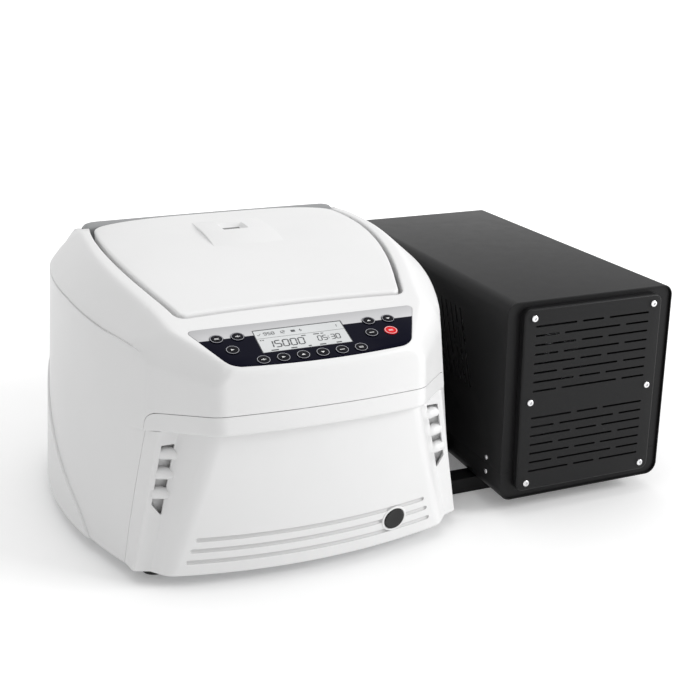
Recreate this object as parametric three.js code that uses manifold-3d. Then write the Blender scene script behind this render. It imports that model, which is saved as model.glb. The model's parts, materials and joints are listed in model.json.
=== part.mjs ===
// A refrigerated laboratory centrifuge: a moulded white unit with a hinged lid over a cooled
// chamber, and beside it a dark sheet-metal cooling box on two cross bars.
// Lengths are in millimetres. X runs to the right of the front, Y to the back, Z up.
// While it is built, X is measured from the middle of the unit, Y from the front edge of the
// cooling box and Z from the bench. The finished model is centred over its own footprint.

import * as THREE from "three";
import { mergeVertices } from "three/addons/utils/BufferGeometryUtils.js";
import Module from "manifold-3d";

const wasm = await Module();
wasm.setup();

// General clearances and overruns
const fitGap = 0.3; // between pieces that touch
const seamGap = 0.5; // open line between two mouldings
const overrun = 5; // how far a cutter runs past what it cuts
const faraway = 1600; // size of the blocks that trim along a plane
const cornerRoomShare = 0.98; // most of an edge that one rounded corner may take

// Plan of the unit
const bodyBottom = 15.5; // underside of the skirt
const sideReach = 249.5; // half the width, at the bottom and at the widest depth
const sideLean = 0.0845; // how far each side leans in for each unit of height
const sideArcRadius = 511;
const sideMiddleY = 252; // depth at which the sides are widest
const sideStartY = 30; // depth at which the sides begin, behind the flanks
const sideDepthShares = [0.13, 0.32, 0.5, 0.67, 0.8];
const rearY = 440;
const rearCornerRadius = 70;
const frontArcRadius = 564;
const skinWall = 3.5;

// Brow, the part of the front that overhangs
const browY = -80.7; // foremost point, at the middle
const browHalf = 114.6;
const browCornerRadius = 32;
const browFlankY = 4;
const browFlankRadius = 10;
const browBottom = 194.5; // lower edge of the overhang at the front
const browTilt = 0.15; // how much the edge drops for each unit of depth

// Set-back face under the brow, with a pillar at each side
const faceY = -40.8; // face at the middle of the bottom
const faceLean = 0.155;
const faceFootHalf = 164;
const faceCornerRadius = 24;
const pillarInnerFootX = 180;
const pillarInnerFootY = 2;
const pillarInnerHeadX = 139.8;
const pillarInnerHeadY = -11;
const pillarOuterFootX = 197;
const pillarOuterFootY = 9;
const pillarOuterHeadX = 162;
const pillarOuterHeadY = -11.7;
const pillarEdgeRadius = 4;

// Seam round the front moulding
const seamFrontHeight = 216.5;
const seamTilt = 0.17;
const seamFootY = 34.5; // side seam at bench level
const seamSideLean = 0.152;
const seamCornerRadius = 16;

// Roof: a control slope in front, then an arc from front to back, with falling shoulders
const lidFrontY = 25.7; // line where the control slope meets the arc
const lidFrontHeight = 297;
const panelSlope = 0.31;
const roofPeakY = 290;
const roofArcRadius = 1165;
const roofPeakHeight = lidFrontHeight + (roofPeakY - lidFrontY) ** 2 / (2 * roofArcRadius);
const roofFacets = 6; // flats that make up the arc
const tailY = 374; // behind this the roof falls to the back
const tailDrop = 3.55; // how far the roof has sunk there under the arc
const tailHeight = lidPlane(tailY) - tailDrop;
const tailSlope = 0.35;
// Each shoulder plane: height over the middle at depth zero, rise with depth, fall to the side
const shoulderHeights = [418.6, 426.1, 457.3, 497.7, 465.3, 733];
const shoulderRiseShares = [0.43, 0.343, 0.155, -0.028, 1.05, -0.5];
const shoulderFallShares = [0.9, 0.9, 0.9, 0.9, 1.239, 1.25];

// Lid opening and the tray under the lid
const openingReach = 171.3;
const openingWidestY = 258;
const openingArcRadius = 650;
const openingFrontY = 25.4;
const openingFrontRadius = 1695;
const openingFrontCorner = 14;
const openingRearY = 346;
const openingRearCorner = 22;
const troughRearY = 374; // the tray runs on behind the lid as a trough for the hinge
const troughHalf = 174;
const deckTop = 283;
const deckWall = 3;

// Lid
const lidGap = 5;
const lidWall = 3;
const lidSkirtBottom = 287;
const lidEdge = 2; // chamfer round the top edge
const lidCrown = 4.2;
const lidCrownRun = 155; // depth over which the crown rises from the front edge
const lidRearCrown = 4.6; // further rise toward the hinge
const lidRearCrownRun = 86;
const lidPeakY = 200;
const lidRingShares = [0.93, 0.8, 0.55, 0.3];
const linerBottom = 289;
const linerThickness = 2.5;
const windowHalf = 11;
const windowY = 259;
const windowThickness = 2;
const pocketHalf = 16.5;
const bumpHalf = 44;
const bumpFrontY = 188;
const bumpRearY = 297;
const bumpRise = 3; // above the crown at the middle of the pad
const bumpSteps = 6;
const pocketDepth = 2; // under the lid's own surface
const pocketWall = 2;

// Hinge
const hingeY = 361;
const hingeHeight = 319;
const hingeBarRadius = 12;
const hingeBarEndGap = 2.5; // to the trough's end wall
const hingeBarHalf = troughHalf - hingeBarEndGap;
const hingeRodRadius = 3;
const hingeArmX = 100;
const hingeArmWidth = 34;
const hingeArmHeight = 12;

// Chamber and rotor
const axisY = 190;
const bowlRadius = 132; // inside
const bowlSheet = 1.5;
const bowlFloor = 150;
const bowlBottomRadius = 24;
const bowlCornerShare = 0.3;
const bowlSides = 28;
const bowlHoleRadius = 24;
const bowlFlange = 9;
const sealRadius = 136.5;
const sealWidth = 7;
const coilTube = 4;
const coilGap = 2.4; // room inside the coil, so that its turns clear the bowl
const coilTurns = 3;
const coilBottom = 172;
const coilPitch = 28;
const coilStubReach = 164;
const coilStub = 12; // straight end of the coil
const coilStepsPerTurn = 18;
const foamWall = 13;
const foamFloor = 9;
const rotorRadius = 104;
const rotorSides = 30;
const rotorBottom = 172;
const rotorRim = 232;
const rotorFoot = 10; // chamfer round the bottom
const rotorLip = 6;
const rotorWellRadius = 40;
const rotorWell = 208;
const rotorHubRadius = 24;
const tubeHoles = 6;
const tubeRadius = 14.75;
const tubeLean = Math.PI / 6;
const tubeMouthReach = 62; // distance of a tube's mouth from the rotor's axis
const tubeDepth = 40;
const rotorLidThickness = 6;
const knobFlange = 7;
const knobFlangeTall = 4;
const knobRadius = 21;
const knobHeight = 24;

// Drive
const shaftRadius = 8;
const shaftTop = 235;
const shaftCollar = 13;
const shaftCollarTall = 12;
const motorRadius = 52;
const motorBottom = 42;
const motorHubRadius = 20;
const motorHubTop = 135;
const motorPlateHeight = 122;
const motorPlateThickness = 5;
const motorPlateRadius = 96;
const damperRadius = 13;
const damperWaist = 9;
const damperReach = 76;
const damperCount = 3;
const damperShares = [0.2, 0.35, 0.65, 0.8];
const shaftSeat = 40; // how deep the shaft stands in the motor

// Bench side
const basePlateThickness = 4;
const plateGap = 1.5; // between the base plate and the skirt
const footRadius = 18;
const footTaper = 3;
const footX = 168;
const footFrontY = 34;
const footRearY = 370;

// Control panel, measured down the slope from the line where it meets the lid plane
const panelTopDown = 30;
const panelBottomDown = 105.6; // at the middle of the bowed bottom edge
const panelCornerDown = 99;
const panelArcShares = [0, 0.35, 0.7];
const panelTopHalf = 129;
const panelBottomHalf = 98.3;
const panelTopCorner = 5;
const panelBottomCorner = 21;
const panelSheet = 1.2;
const displayHalf = 49.6;
const displayMiddleX = -11.4;
const displayTopDown = 43.1;
const displayBottomDown = 83.4;
const displaySetback = 0.4;
const boardGap = 9; // from the roof skin to the circuit board
const boardThickness = 1.6;
const boardTopHalf = 112;
const boardBottomHalf = 78;
const boardTopDown = 36;
const boardSideDown = 78;
const boardBottomDown = 101;
const boardPostRadius = 3.5;
const keyRadius = 7.25;
const keyProud = 0.9;
const keyCap = 1.5;
const keyStemRadius = 5;
const keyTravel = 0.6;
const keySides = 10;
const keySideX = 101;
const keySideInnerX = 78.5;
const keySideDown = 50.8;
const keyLeftLowX = 90;
const keyLowDown = 72.5;
const keyRightX = [68.3, 91];
const keyRightLowX = [63.3, 85.5];
const keyRowDown = 95.2;
const keyRowPitch = 21.3;
const keyRowMiddleX = -10.8;
const keyRowCount = 6;

// Grooves and button low on the face
const grooveHeights = [61.5, 47.4, 32.8];
const grooveHalves = [135.2, 141, 145.9];
const grooveTall = 5.5;
const grooveDepth = 1.6;
const grooveSteps = 6;
const buttonX = 95;
const buttonHeight = 46.4;
const buttonRadius = 13;
const buttonProud = 1.6;
const buttonTravel = 3;
const buttonStem = 16;
const buttonStemRadius = 8;
const buttonFlange = 15.4;
const buttonFlangeTall = 2.5;
const bossRadius = 16.2;
const bossProud = 0.9;
const bossBack = 5.5;

// Intake gills on the pillars
const gillTop = 167.2;
const gillBottom = 97.6;
const gillTip = 82.7;
const gillOuterTopX = 161.4;
const gillOuterBottomX = 174.6;
const gillTipX = 164.9;
const gillInnerTopX = 147;
const gillDepth = 26;
const finCount = 3;
const finTop = 157;
const finPitch = 22;
const finRadius = 6.2;
const finLength = 27;

// Rear cover
const rearCoverProud = 3;
const creaseFrontY = 92;
const creaseLow = 5;
const creaseRun = 348;
const creaseRise = 180;
const creaseShares = [
  [0, 0],
  [0.049, 0.083],
  [0.115, 0.189],
  [0.21, 0.289],
  [0.333, 0.406],
  [0.609, 0.667],
  [1, 1],
];

// Mains inlet on the rear cover
const inletX = -140;
const inletHeight = 62;
const inletWidth = 62;
const inletTall = 32;
const inletDepth = 26;
const inletProud = 2;
const socketWidth = 25;
const socketTall = 17;
const socketDepth = 18;
const socketShift = 14;
const rockerWidth = 13;
const rockerTall = 20;
const rockerDepth = 9;
const rockerProud = 2.5;
const rockerClearance = 0.8;
const pinWidth = 2;
const pinTall = 6;
const pinSpacing = 7;
const rockerShift = -16;

// Cooling box
const boxLeft = 254;
const boxWidth = 230;
const boxDepth = 474.6;
const boxBottom = 20;
const boxTop = 274.1;
const boxTopRadius = 14;
const boxBottomRadius = 15;
const boxSheet = 1.5;
const boxSeamHeight = 56.5;
const boxFlangeSetback = 3;
const boxFlangeWidth = 20;
const boxFlangeCorner = 6;
const grilleLeft = 18;
const grilleWidth = 191.5;
const grilleBottom = 33;
const grilleTop = 266.3;
const grilleRadius = 10;
const grilleFront = -8;
const grilleSheet = 2;
const slotTall = 2.4;
const slotEndShare = 0.49;
const slotPitch = 11.65;
const slotRows = [8, 7];
const slotTopHeights = [244.6, 128.4];
const slotLongShares = [[0.081, 0.375], [0.415, 0.572], [0.611, 0.907]];
const slotShortShares = [[0.082, 0.251], [0.29, 0.697], [0.738, 0.908]];
const sideSlotWide = 3.5;
const sideSlotTop = 236;
const sideSlotBottom = 140;
const sideSlotFirstY = 121;
const sideSlotPitch = 13.4;
const sideSlotCount = 8;
const sideSlotLean = 35;
const sideSlotTwoShares = [[0, 0.465], [0.525, 1]];
const sideSlotThreeShares = [[0, 0.225], [0.285, 0.715], [0.775, 1]];
const backSlotRows = 9;
const backSlotPitch = 14;
const backSlotHalf = 70;
const backSlotTop = 236;

// Inside the cooling box
const compressorRadius = 56;
const compressorHeight = 150;
const compressorY = 372;
const compressorHeightShares = [0.75, 0.93];
const compressorTopShare = 0.8; // radius under the dome
const condenserWidth = 188;
const condenserTall = 190;
const condenserDepth = 44;
const condenserY = 110;
const condenserFins = 12;
const condenserFinShare = 0.45;
const fanRadius = 74;
const fanHubRadius = 20;
const fanBlades = 5;
const fanDepth = 22;
const fanY = 62;
const fanBladeChord = 34;
const fanBladeThickness = 2;
const fanBladePitch = Math.PI / 6;
const fanShaftRadius = 3;
const fanShaftLength = 10;
const fanMotorRadius = 19;
const fanMotorLength = 22;
const shroudBore = 77;
const shroudSheet = 3;
const spokeWidth = 8;
const spokeCount = 3;

// Cross bars and refrigerant lines
const barWide = 28;
const barFrontY = 75;
const barRearY = 400;
const barWall = 2;
const barLeft = 40;
const barShort = 12; // how far the bars stop short of the box's far side
const lineRadius = 6;
const lineHeight = 34;
const lineFrontY = 148;
const lineSpacing = 20;
const lineLead = 14; // straight run from each stub of the coil
const lineStraight = 22; // straight run before the wall of the cooling box
const lineInside = 8; // straight run behind that wall
const returnPortHeight = 92; // where the return line meets the compressor
// Bends, as shares of the way across, back and down from one straight run to the next
const supplyShares = [[0.29, 0.14, 0.16], [0.45, 0.6, 0.64], [0.58, 0.93, 0.92], [0.82, 1, 1]];
const returnShares = [[0.48, -0.23, 0.1], [0.7, -0.27, 0.49], [0.76, 0.27, 0.84], [0.83, 0.91, 0.97]];
const compressorShares = [
  [0.32, 0.07, 0.03],
  [0.51, 0.3, 0.17],
  [0.51, 0.7, 0.62],
  [0.55, 0.95, 0.97],
  [0.79, 1, 1],
];

// Latch
const hookWidth = 16;
const hookThickness = 5;
const hookY = 38;
const hookDrop = 16;
const latchBlockWidth = 46;
const latchBlockDepth = 20;
const latchBlockTall = 26;
const boltRadius = 3;
const boltLength = 16;
const hookHoleDepth = 7;
const boltTravel = 6;

// Colours and finishes
const whitePlastic = { color: 0xf4f4f2, roughness: 0.35, metalness: 0 };
const greyPlastic = { color: 0x8f9092, roughness: 0.45, metalness: 0 };
const darkPlastic = { color: 0x17181a, roughness: 0.45, metalness: 0 };
const navyPlastic = { color: 0x0b0d1c, roughness: 0.3, metalness: 0 };
const redPlastic = { color: 0xd8262b, roughness: 0.35, metalness: 0 };
const liquidCrystal = { color: 0xc9cfd0, roughness: 0.2, metalness: 0 };
const boardGreen = { color: 0x1f6b3c, roughness: 0.5, metalness: 0 };
const rubber = { color: 0x111111, roughness: 0.8, metalness: 0 };
const foam = { color: 0xe8dfc4, roughness: 0.9, metalness: 0 };
const darkGlass = { color: 0x202428, roughness: 0.1, metalness: 0 };
const stainless = { color: 0xb9bcbe, roughness: 0.3, metalness: 1 };
const aluminium = { color: 0xa9abad, roughness: 0.4, metalness: 1 };
const copper = { color: 0xb8733f, roughness: 0.35, metalness: 1 };
const paintedBlack = { color: 0x232426, roughness: 0.5, metalness: 0.2 };

const centrifuge = new THREE.Group();

// Adds a named mesh to the model
function part(name, shape, finish) {
  const geometry = shape.isBufferGeometry ? shape : toGeometry(shape);
  geometry.computeVertexNormals();
  const mesh = new THREE.Mesh(geometry, new THREE.MeshStandardMaterial(finish));
  mesh.name = name;
  centrifuge.add(mesh);
  return mesh;
}

// A solid from a closed geometry
function toSolid(shape) {
  if (!shape.isBufferGeometry) return shape;
  const bare = shape.clone();
  bare.deleteAttribute("normal");
  bare.deleteAttribute("uv");
  const merged = mergeVertices(bare);
  const vertProperties = new Float32Array(merged.attributes.position.array);
  const triVerts = new Uint32Array(merged.index.array);
  return new wasm.Manifold(new wasm.Mesh({ numProp: 3, vertProperties, triVerts }));
}

function toGeometry(solid) {
  const mesh = solid.getMesh();
  const geometry = new THREE.BufferGeometry();
  const positions = new Float32Array(mesh.vertProperties);
  geometry.setAttribute("position", new THREE.BufferAttribute(positions, 3));
  geometry.setIndex(new THREE.BufferAttribute(new Uint32Array(mesh.triVerts), 1));
  return geometry;
}

function cut(shape, ...tools) {
  return tools.reduce((solid, tool) => solid.subtract(toSolid(tool)), toSolid(shape));
}

function join(shape, ...others) {
  return others.reduce((solid, other) => solid.add(toSolid(other)), toSolid(shape));
}

function common(shape, ...others) {
  return others.reduce((solid, other) => solid.intersect(toSolid(other)), toSolid(shape));
}

function mix(from, to, share) {
  return from + (to - from) * share;
}

// Turns the faces of a closed mesh outwards where they point inwards
function outward(geometry) {
  const corners = geometry.attributes.position;
  const index = geometry.index.array;
  const corner = (place) => new THREE.Vector3().fromBufferAttribute(corners, index[place]);
  let volume = 0;
  for (let face = 0; face < index.length; face += 3) {
    volume += corner(face).dot(corner(face + 1).cross(corner(face + 2)));
  }
  if (volume < 0) {
    for (let face = 0; face < index.length; face += 3) {
      [index[face], index[face + 1]] = [index[face + 1], index[face]];
    }
  }
  return geometry;
}

// Block between two corners
function block(x0, x1, y0, y1, z0, z1) {
  const geometry = new THREE.BoxGeometry(x1 - x0, y1 - y0, z1 - z0);
  return geometry.translate((x0 + x1) / 2, (y0 + y1) / 2, (z0 + z1) / 2);
}

// Upright cylinder between two heights
function post(radius, x, y, z0, z1, sides = 20, topRadius = radius) {
  const geometry = new THREE.CylinderGeometry(topRadius, radius, z1 - z0, sides);
  return geometry.rotateX(Math.PI / 2).translate(x, y, (z0 + z1) / 2);
}

// Radius of a faceted hole that clears a round piece by the fitting gap
function bore(radius, sides) {
  return (radius + fitGap) / Math.cos(Math.PI / sides);
}

// Cylinder along X or Y
function rodX(radius, x0, x1, y, z, sides = 24) {
  const geometry = new THREE.CylinderGeometry(radius, radius, x1 - x0, sides);
  return geometry.rotateZ(Math.PI / 2).translate((x0 + x1) / 2, y, z);
}

function rodY(radius, x, y0, y1, z, sides = 24) {
  const geometry = new THREE.CylinderGeometry(radius, radius, y1 - y0, sides);
  return geometry.translate(x, (y0 + y1) / 2, z);
}

// Body of revolution about an upright axis, from [radius, height] pairs
function turned(profile, x, y, sides = 28) {
  const points = profile.map(([radius, height]) => new THREE.Vector2(radius, height));
  return outward(new THREE.LatheGeometry(points, sides).rotateX(Math.PI / 2)).translate(x, y, 0);
}

// Outline with rounded corners from [x, y, radius] corners, anticlockwise
function outline(corners, arcSteps = 3) {
  const points = [];
  corners.forEach(([x, y, radius = 0], index) => {
    const here = new THREE.Vector2(x, y);
    if (radius === 0) {
      points.push(here);
      return;
    }
    const before = corners[(index + corners.length - 1) % corners.length];
    const after = corners[(index + 1) % corners.length];
    const toBefore = new THREE.Vector2(before[0], before[1]).sub(here);
    const toAfter = new THREE.Vector2(after[0], after[1]).sub(here);
    const room = Math.min(toBefore.length(), toAfter.length()) * cornerRoomShare;
    toBefore.normalize();
    toAfter.normalize();
    const half = Math.acos(THREE.MathUtils.clamp(toBefore.dot(toAfter), -1, 1)) / 2;
    const back = Math.min(radius / Math.tan(half), room);
    const start = here.clone().addScaledVector(toBefore, back);
    const end = here.clone().addScaledVector(toAfter, back);
    const toCentre = toBefore.clone().add(toAfter).normalize();
    const centre = here.clone().addScaledVector(toCentre, back / Math.cos(half));
    const from = start.clone().sub(centre).angle();
    let turn = end.clone().sub(centre).angle() - from;
    if (turn > Math.PI) turn -= 2 * Math.PI;
    if (turn < -Math.PI) turn += 2 * Math.PI;
    const reach = start.distanceTo(centre);
    for (let step = 0; step <= arcSteps; step += 1) {
      const angle = from + turn * step / arcSteps;
      points.push(new THREE.Vector2(Math.cos(angle), Math.sin(angle)).multiplyScalar(reach).add(centre));
    }
  });
  return points;
}

// Moves an anticlockwise outline inwards, or outwards for a negative distance
function inset(points, distance) {
  return points.map((point, index) => {
    const before = points[(index + points.length - 1) % points.length];
    const after = points[(index + 1) % points.length];
    const arrive = point.clone().sub(before).normalize();
    const leave = after.clone().sub(point).normalize();
    const first = new THREE.Vector2(-arrive.y, arrive.x);
    const second = new THREE.Vector2(-leave.y, leave.x);
    const shift = first.clone().add(second).divideScalar(1 + first.dot(second));
    return point.clone().addScaledVector(shift, distance);
  });
}

// Adds the mirror image of a right-hand half outline that starts and ends near the middle
function mirrored(half) {
  const left = half.filter(([x]) => x > 0).map(([x, y, radius]) => [-x, y, radius]);
  return half.concat(left.reverse());
}

// Solid through closed rings of equal counts, each anticlockwise seen from the last ring
function loft(rings) {
  const count = rings[0].length;
  const positions = [];
  rings.forEach((ring) => ring.forEach((point) => positions.push(point.x, point.y, point.z)));
  const middleOf = (ring) => (
    ring.reduce((sum, point) => sum.add(point), new THREE.Vector3()).divideScalar(count)
  );
  const low = middleOf(rings[0]);
  const high = middleOf(rings[rings.length - 1]);
  positions.push(low.x, low.y, low.z, high.x, high.y, high.z);
  const lowIndex = rings.length * count;
  const highIndex = lowIndex + 1;
  const topStart = (rings.length - 1) * count;
  const faces = [];
  for (let here = 0; here < count; here += 1) {
    const next = (here + 1) % count;
    faces.push(lowIndex, next, here, highIndex, topStart + here, topStart + next);
    for (let level = 0; level + 1 < rings.length; level += 1) {
      const a = level * count + here;
      const b = level * count + next;
      faces.push(a, b, b + count, a, b + count, a + count);
    }
  }
  const geometry = new THREE.BufferGeometry();
  geometry.setAttribute("position", new THREE.Float32BufferAttribute(positions, 3));
  geometry.setIndex(faces);
  return geometry;
}

function ringAt(points, height) {
  return points.map((point) => new THREE.Vector3(point.x, point.y, height));
}

// Upright solid of an outline
function prism(points, z0, z1) {
  return loft([ringAt(points, z0), ringAt(points, z1)]);
}

// Solid that spans the width, from an outline of depth and height
function acrossX(points, x0, x1) {
  const shape = new THREE.Shape(points);
  const geometry = new THREE.ExtrudeGeometry(shape, { depth: x1 - x0, bevelEnabled: false });
  const turn = new THREE.Matrix4().makeBasis(
    new THREE.Vector3(0, 1, 0),
    new THREE.Vector3(0, 0, 1),
    new THREE.Vector3(1, 0, 0),
  );
  return geometry.applyMatrix4(turn).translate(x0, 0, 0);
}

// Solid that runs back from a plane, from an outline of width and height
function alongY(points, y0, y1, holes = []) {
  const shape = new THREE.Shape(points);
  shape.holes = holes.map((hole) => new THREE.Path(hole));
  const geometry = new THREE.ExtrudeGeometry(shape, { depth: y1 - y0, bevelEnabled: false });
  return geometry.rotateX(Math.PI / 2).translate(0, y1, 0);
}

// Large block whose lower face lies on a plane, to trim everything above that plane
function above(point, normal) {
  const geometry = new THREE.BoxGeometry(faraway, faraway, faraway).translate(0, 0, faraway / 2);
  const up = new THREE.Vector3(0, 0, 1);
  const turn = new THREE.Quaternion().setFromUnitVectors(up, normal.clone().normalize());
  return geometry.applyQuaternion(turn).translate(point.x, point.y, point.z);
}

// Tube along a smooth curve
function tube(points, radius, steps, sides = 8) {
  const corners = Array.from({ length: sides }, (_, corner) => {
    const turn = (2 * Math.PI * corner) / sides;
    return new THREE.Vector2(Math.cos(turn), Math.sin(turn)).multiplyScalar(radius);
  });
  const section = new THREE.Shape(corners);
  const path = new THREE.CatmullRomCurve3(points.map(([x, y, z]) => new THREE.Vector3(x, y, z)));
  return new THREE.ExtrudeGeometry(section, { steps, extrudePath: path, bevelEnabled: false });
}

// Half-width of the unit's side wall at a depth and height
function sideX(y, height) {
  const bow = (y - sideMiddleY) ** 2 / (2 * sideArcRadius);
  return sideReach - sideLean * (height - bodyBottom) - bow;
}

function sideCorners(height) {
  const depths = [0, ...sideDepthShares].map((share) => mix(sideStartY, rearY, share));
  const wall = depths.map((y) => [sideX(y, height), y]);
  return wall.concat([[sideX(rearY, height), rearY, rearCornerRadius]]);
}

function frontArc(x) {
  return x ** 2 / (2 * frontArcRadius);
}

// Face under the brow at a place across and a height
function faceDepth(x, height) {
  return faceY + frontArc(x) - faceLean * (height - bodyBottom);
}

function seamSideY(height) {
  return seamFootY - seamSideLean * height;
}

// Plan of the lower walls, with face, flanks and pillars
function lowerPlan(height) {
  const rise = (height - bodyBottom) / (browBottom - bodyBottom);
  const faceHalf = mix(faceFootHalf, browHalf, rise);
  const innerX = mix(pillarInnerFootX, pillarInnerHeadX, rise);
  const outerX = mix(pillarOuterFootX, pillarOuterHeadX, rise);
  const half = [
    [0, faceDepth(0, height)],
    [faceHalf / 2, faceDepth(faceHalf / 2, height)],
    [faceHalf, faceDepth(faceHalf, height), faceCornerRadius],
    [innerX, mix(pillarInnerFootY, pillarInnerHeadY, rise)],
    [outerX, mix(pillarOuterFootY, pillarOuterHeadY, rise), pillarEdgeRadius],
  ];
  return outline(mirrored(half.concat(sideCorners(height))));
}

// Plan of the brow and the walls above it
function upperPlan(height) {
  const half = [
    [0, browY],
    [browHalf / 2, browY + frontArc(browHalf / 2)],
    [browHalf, browY + frontArc(browHalf), browCornerRadius],
    [sideX(browFlankY, height), browFlankY, browFlankRadius],
  ];
  return outline(mirrored(half.concat(sideCorners(height))));
}

// Height of the roof's arc and of the control slope at a depth
function lidPlane(y) {
  return roofPeakHeight - (y - roofPeakY) ** 2 / (2 * roofArcRadius);
}

function panelPlane(y) {
  return lidFrontHeight + panelSlope * (y - lidFrontY);
}

// Blocks above the roof, lowered by the wall for the inside
function roofTrims(drop) {
  const trims = [];
  const trim = (point, normal) => {
    const down = normal.clone().normalize().multiplyScalar(-drop);
    trims.push(above(point.clone().add(down), normal));
  };
  const ridge = new THREE.Vector3(0, lidFrontY, lidFrontHeight);
  trim(ridge, new THREE.Vector3(0, -panelSlope, 1));
  for (let facet = 0; facet < roofFacets; facet += 1) {
    const y = mix(lidFrontY, tailY, (facet + 1 / 2) / roofFacets);
    trim(new THREE.Vector3(0, y, lidPlane(y)), new THREE.Vector3(0, (y - roofPeakY) / roofArcRadius, 1));
  }
  trim(new THREE.Vector3(0, tailY, tailHeight), new THREE.Vector3(0, tailSlope, 1));
  shoulderHeights.forEach((height, index) => {
    for (const side of [1, -1]) {
      const fall = side * shoulderFallShares[index];
      trim(new THREE.Vector3(0, 0, height), new THREE.Vector3(fall, -shoulderRiseShares[index], 1));
    }
  });
  return trims;
}

// Whole form of the unit, moved inwards by a wall
function unitForm(wall, bottom) {
  const top = roofPeakHeight + skinWall;
  const high = loft([
    ringAt(inset(upperPlan(bottom), wall), bottom),
    ringAt(inset(upperPlan(top), wall), top),
  ]);
  const low = loft([
    ringAt(inset(lowerPlan(bottom), wall), bottom),
    ringAt(inset(lowerPlan(browBottom + wall), wall), browBottom + wall + fitGap),
  ]);
  const underBrow = (lap) => {
    const lip = new THREE.Vector3(0, browY, browBottom + wall + lap);
    const front = block(-faraway / 2, faraway / 2, -faraway / 2, sideStartY + lap, -faraway / 2, faraway / 2);
    return cut(front, above(lip, new THREE.Vector3(0, browTilt, 1)));
  };
  return cut(join(cut(high, underBrow(0)), common(low, underBrow(fitGap))), ...roofTrims(wall));
}

// Region of depth and height that the front moulding fills, grown or shrunk by a gap
function frontRegion(gap) {
  const top = (y) => seamFrontHeight - seamTilt * (y - browY);
  const cornerY = (
    seamFootY - seamSideLean * (seamFrontHeight + seamTilt * browY)
  ) / (1 - seamSideLean * seamTilt);
  const frontEnd = browY - overrun * 4;
  const corners = [
    [frontEnd, -overrun],
    [seamSideY(-overrun), -overrun],
    [cornerY, top(cornerY), seamCornerRadius],
    [frontEnd, top(frontEnd)],
  ];
  return acrossX(inset(outline(corners), -gap), -faraway / 2, faraway / 2);
}

// Region of depth and height behind and under the crease of the rear cover
function rearRegion(gap) {
  const crease = creaseShares.map(([run, rise]) => (
    [creaseFrontY + creaseRun * run, creaseLow + creaseRise * rise]
  ));
  const endY = rearY + overrun * 4;
  const corners = [[creaseFrontY, -overrun], [endY, -overrun], [endY, creaseLow + creaseRise]];
  const curve = crease.reverse();
  return acrossX(inset(outline(corners.concat(curve)), -gap), -faraway / 2, faraway / 2);
}

// Half-width of the lid opening at a depth
function openingX(y) {
  return openingReach - (y - openingWidestY) ** 2 / (2 * openingArcRadius);
}

function openingFront(x) {
  return openingFrontY - x ** 2 / (2 * openingFrontRadius);
}

const openingCornerX = openingX(openingFrontY);
const openingSideShares = [0.15, 0.32, 0.5, 0.68, 0.85];
const openingRearShares = [0.7, 0.35, 0];

function openingOutline() {
  const half = [
    [0, openingFrontY],
    [openingCornerX / 2, openingFront(openingCornerX / 2)],
    [openingCornerX, openingFront(openingCornerX), openingFrontCorner],
  ];
  openingSideShares.forEach((share) => {
    const y = mix(openingFrontY, openingRearY, share);
    half.push([openingX(y), y]);
  });
  half.push([openingX(openingRearY), openingRearY, openingRearCorner]);
  openingRearShares.forEach((share) => half.push([openingX(openingRearY) * share, openingRearY]));
  return outline(mirrored(half));
}

// The lid opening and the hinge trough behind it
function trayOutline() {
  const half = [
    [0, openingFrontY],
    [openingCornerX / 2, openingFront(openingCornerX / 2)],
    [openingCornerX, openingFront(openingCornerX), openingFrontCorner],
  ];
  openingSideShares.forEach((share) => {
    const y = mix(openingFrontY, openingRearY, share);
    half.push([openingX(y), y]);
  });
  half.push([openingX(openingRearY), openingRearY]);
  half.push([troughHalf, hingeY - hingeBarRadius - 2 * seamGap]);
  half.push([troughHalf, troughRearY]);
  return outline(mirrored(half));
}

// Moves a shape drawn flat on the control slope to its place: X across, Y up the slope, Z out of it
const slopeTilt = Math.atan(panelSlope);
function onSlope(geometry) {
  return geometry.rotateX(slopeTilt).translate(0, lidFrontY, lidFrontHeight);
}

function slopeBlock(x0, x1, down0, down1, z0, z1) {
  return onSlope(block(x0, x1, -down1, -down0, z0, z1));
}

function slopePost(radius, x, down, z0, z1, sides = 16) {
  return onSlope(post(radius, x, -down, z0, z1, sides));
}

// Places of the keys on the slope, each a name, a place across, a distance down and a finish
const keys = [
  ["key_left_1", -keySideX, keySideDown, darkPlastic],
  ["key_left_2", -keySideInnerX, keySideDown, darkPlastic],
  ["key_left_3", -keyLeftLowX, keyLowDown, darkPlastic],
  ["key_right_1", keyRightX[0], keySideDown, darkPlastic],
  ["key_right_2", keyRightX[1], keySideDown, darkPlastic],
  ["key_right_3", keyRightLowX[0], keyLowDown, darkPlastic],
  ["key_stop", keyRightLowX[1], keyLowDown, redPlastic],
];
for (let index = 0; index < keyRowCount; index += 1) {
  const x = keyRowMiddleX + keyRowPitch * (index - (keyRowCount - 1) / 2);
  keys.push([`key_row_${index + 1}`, x, keyRowDown, darkPlastic]);
}

function panelOutline(gap) {
  const corners = mirrored([
    ...panelArcShares.map((share) => (
      [panelBottomHalf * share, -mix(panelBottomDown, panelCornerDown, share ** 2)]
    )),
    [panelBottomHalf, -panelCornerDown, panelBottomCorner],
    [panelTopHalf, -panelTopDown, panelTopCorner],
  ]);
  return inset(outline(corners), gap);
}

const panelFloor = -(panelSheet + fitGap);
const keyHoles = keys.map(([, x, down]) => (
  slopePost(bore(keyStemRadius, keySides), x, down, -skinWall * 2, overrun, keySides)
));
const boardTop = -(skinWall + boardGap);
const displayHole = slopeBlock(
  displayMiddleX - displayHalf - fitGap,
  displayMiddleX + displayHalf + fitGap,
  displayTopDown - fitGap,
  displayBottomDown + fitGap,
  -skinWall * 3,
  overrun,
);

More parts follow.
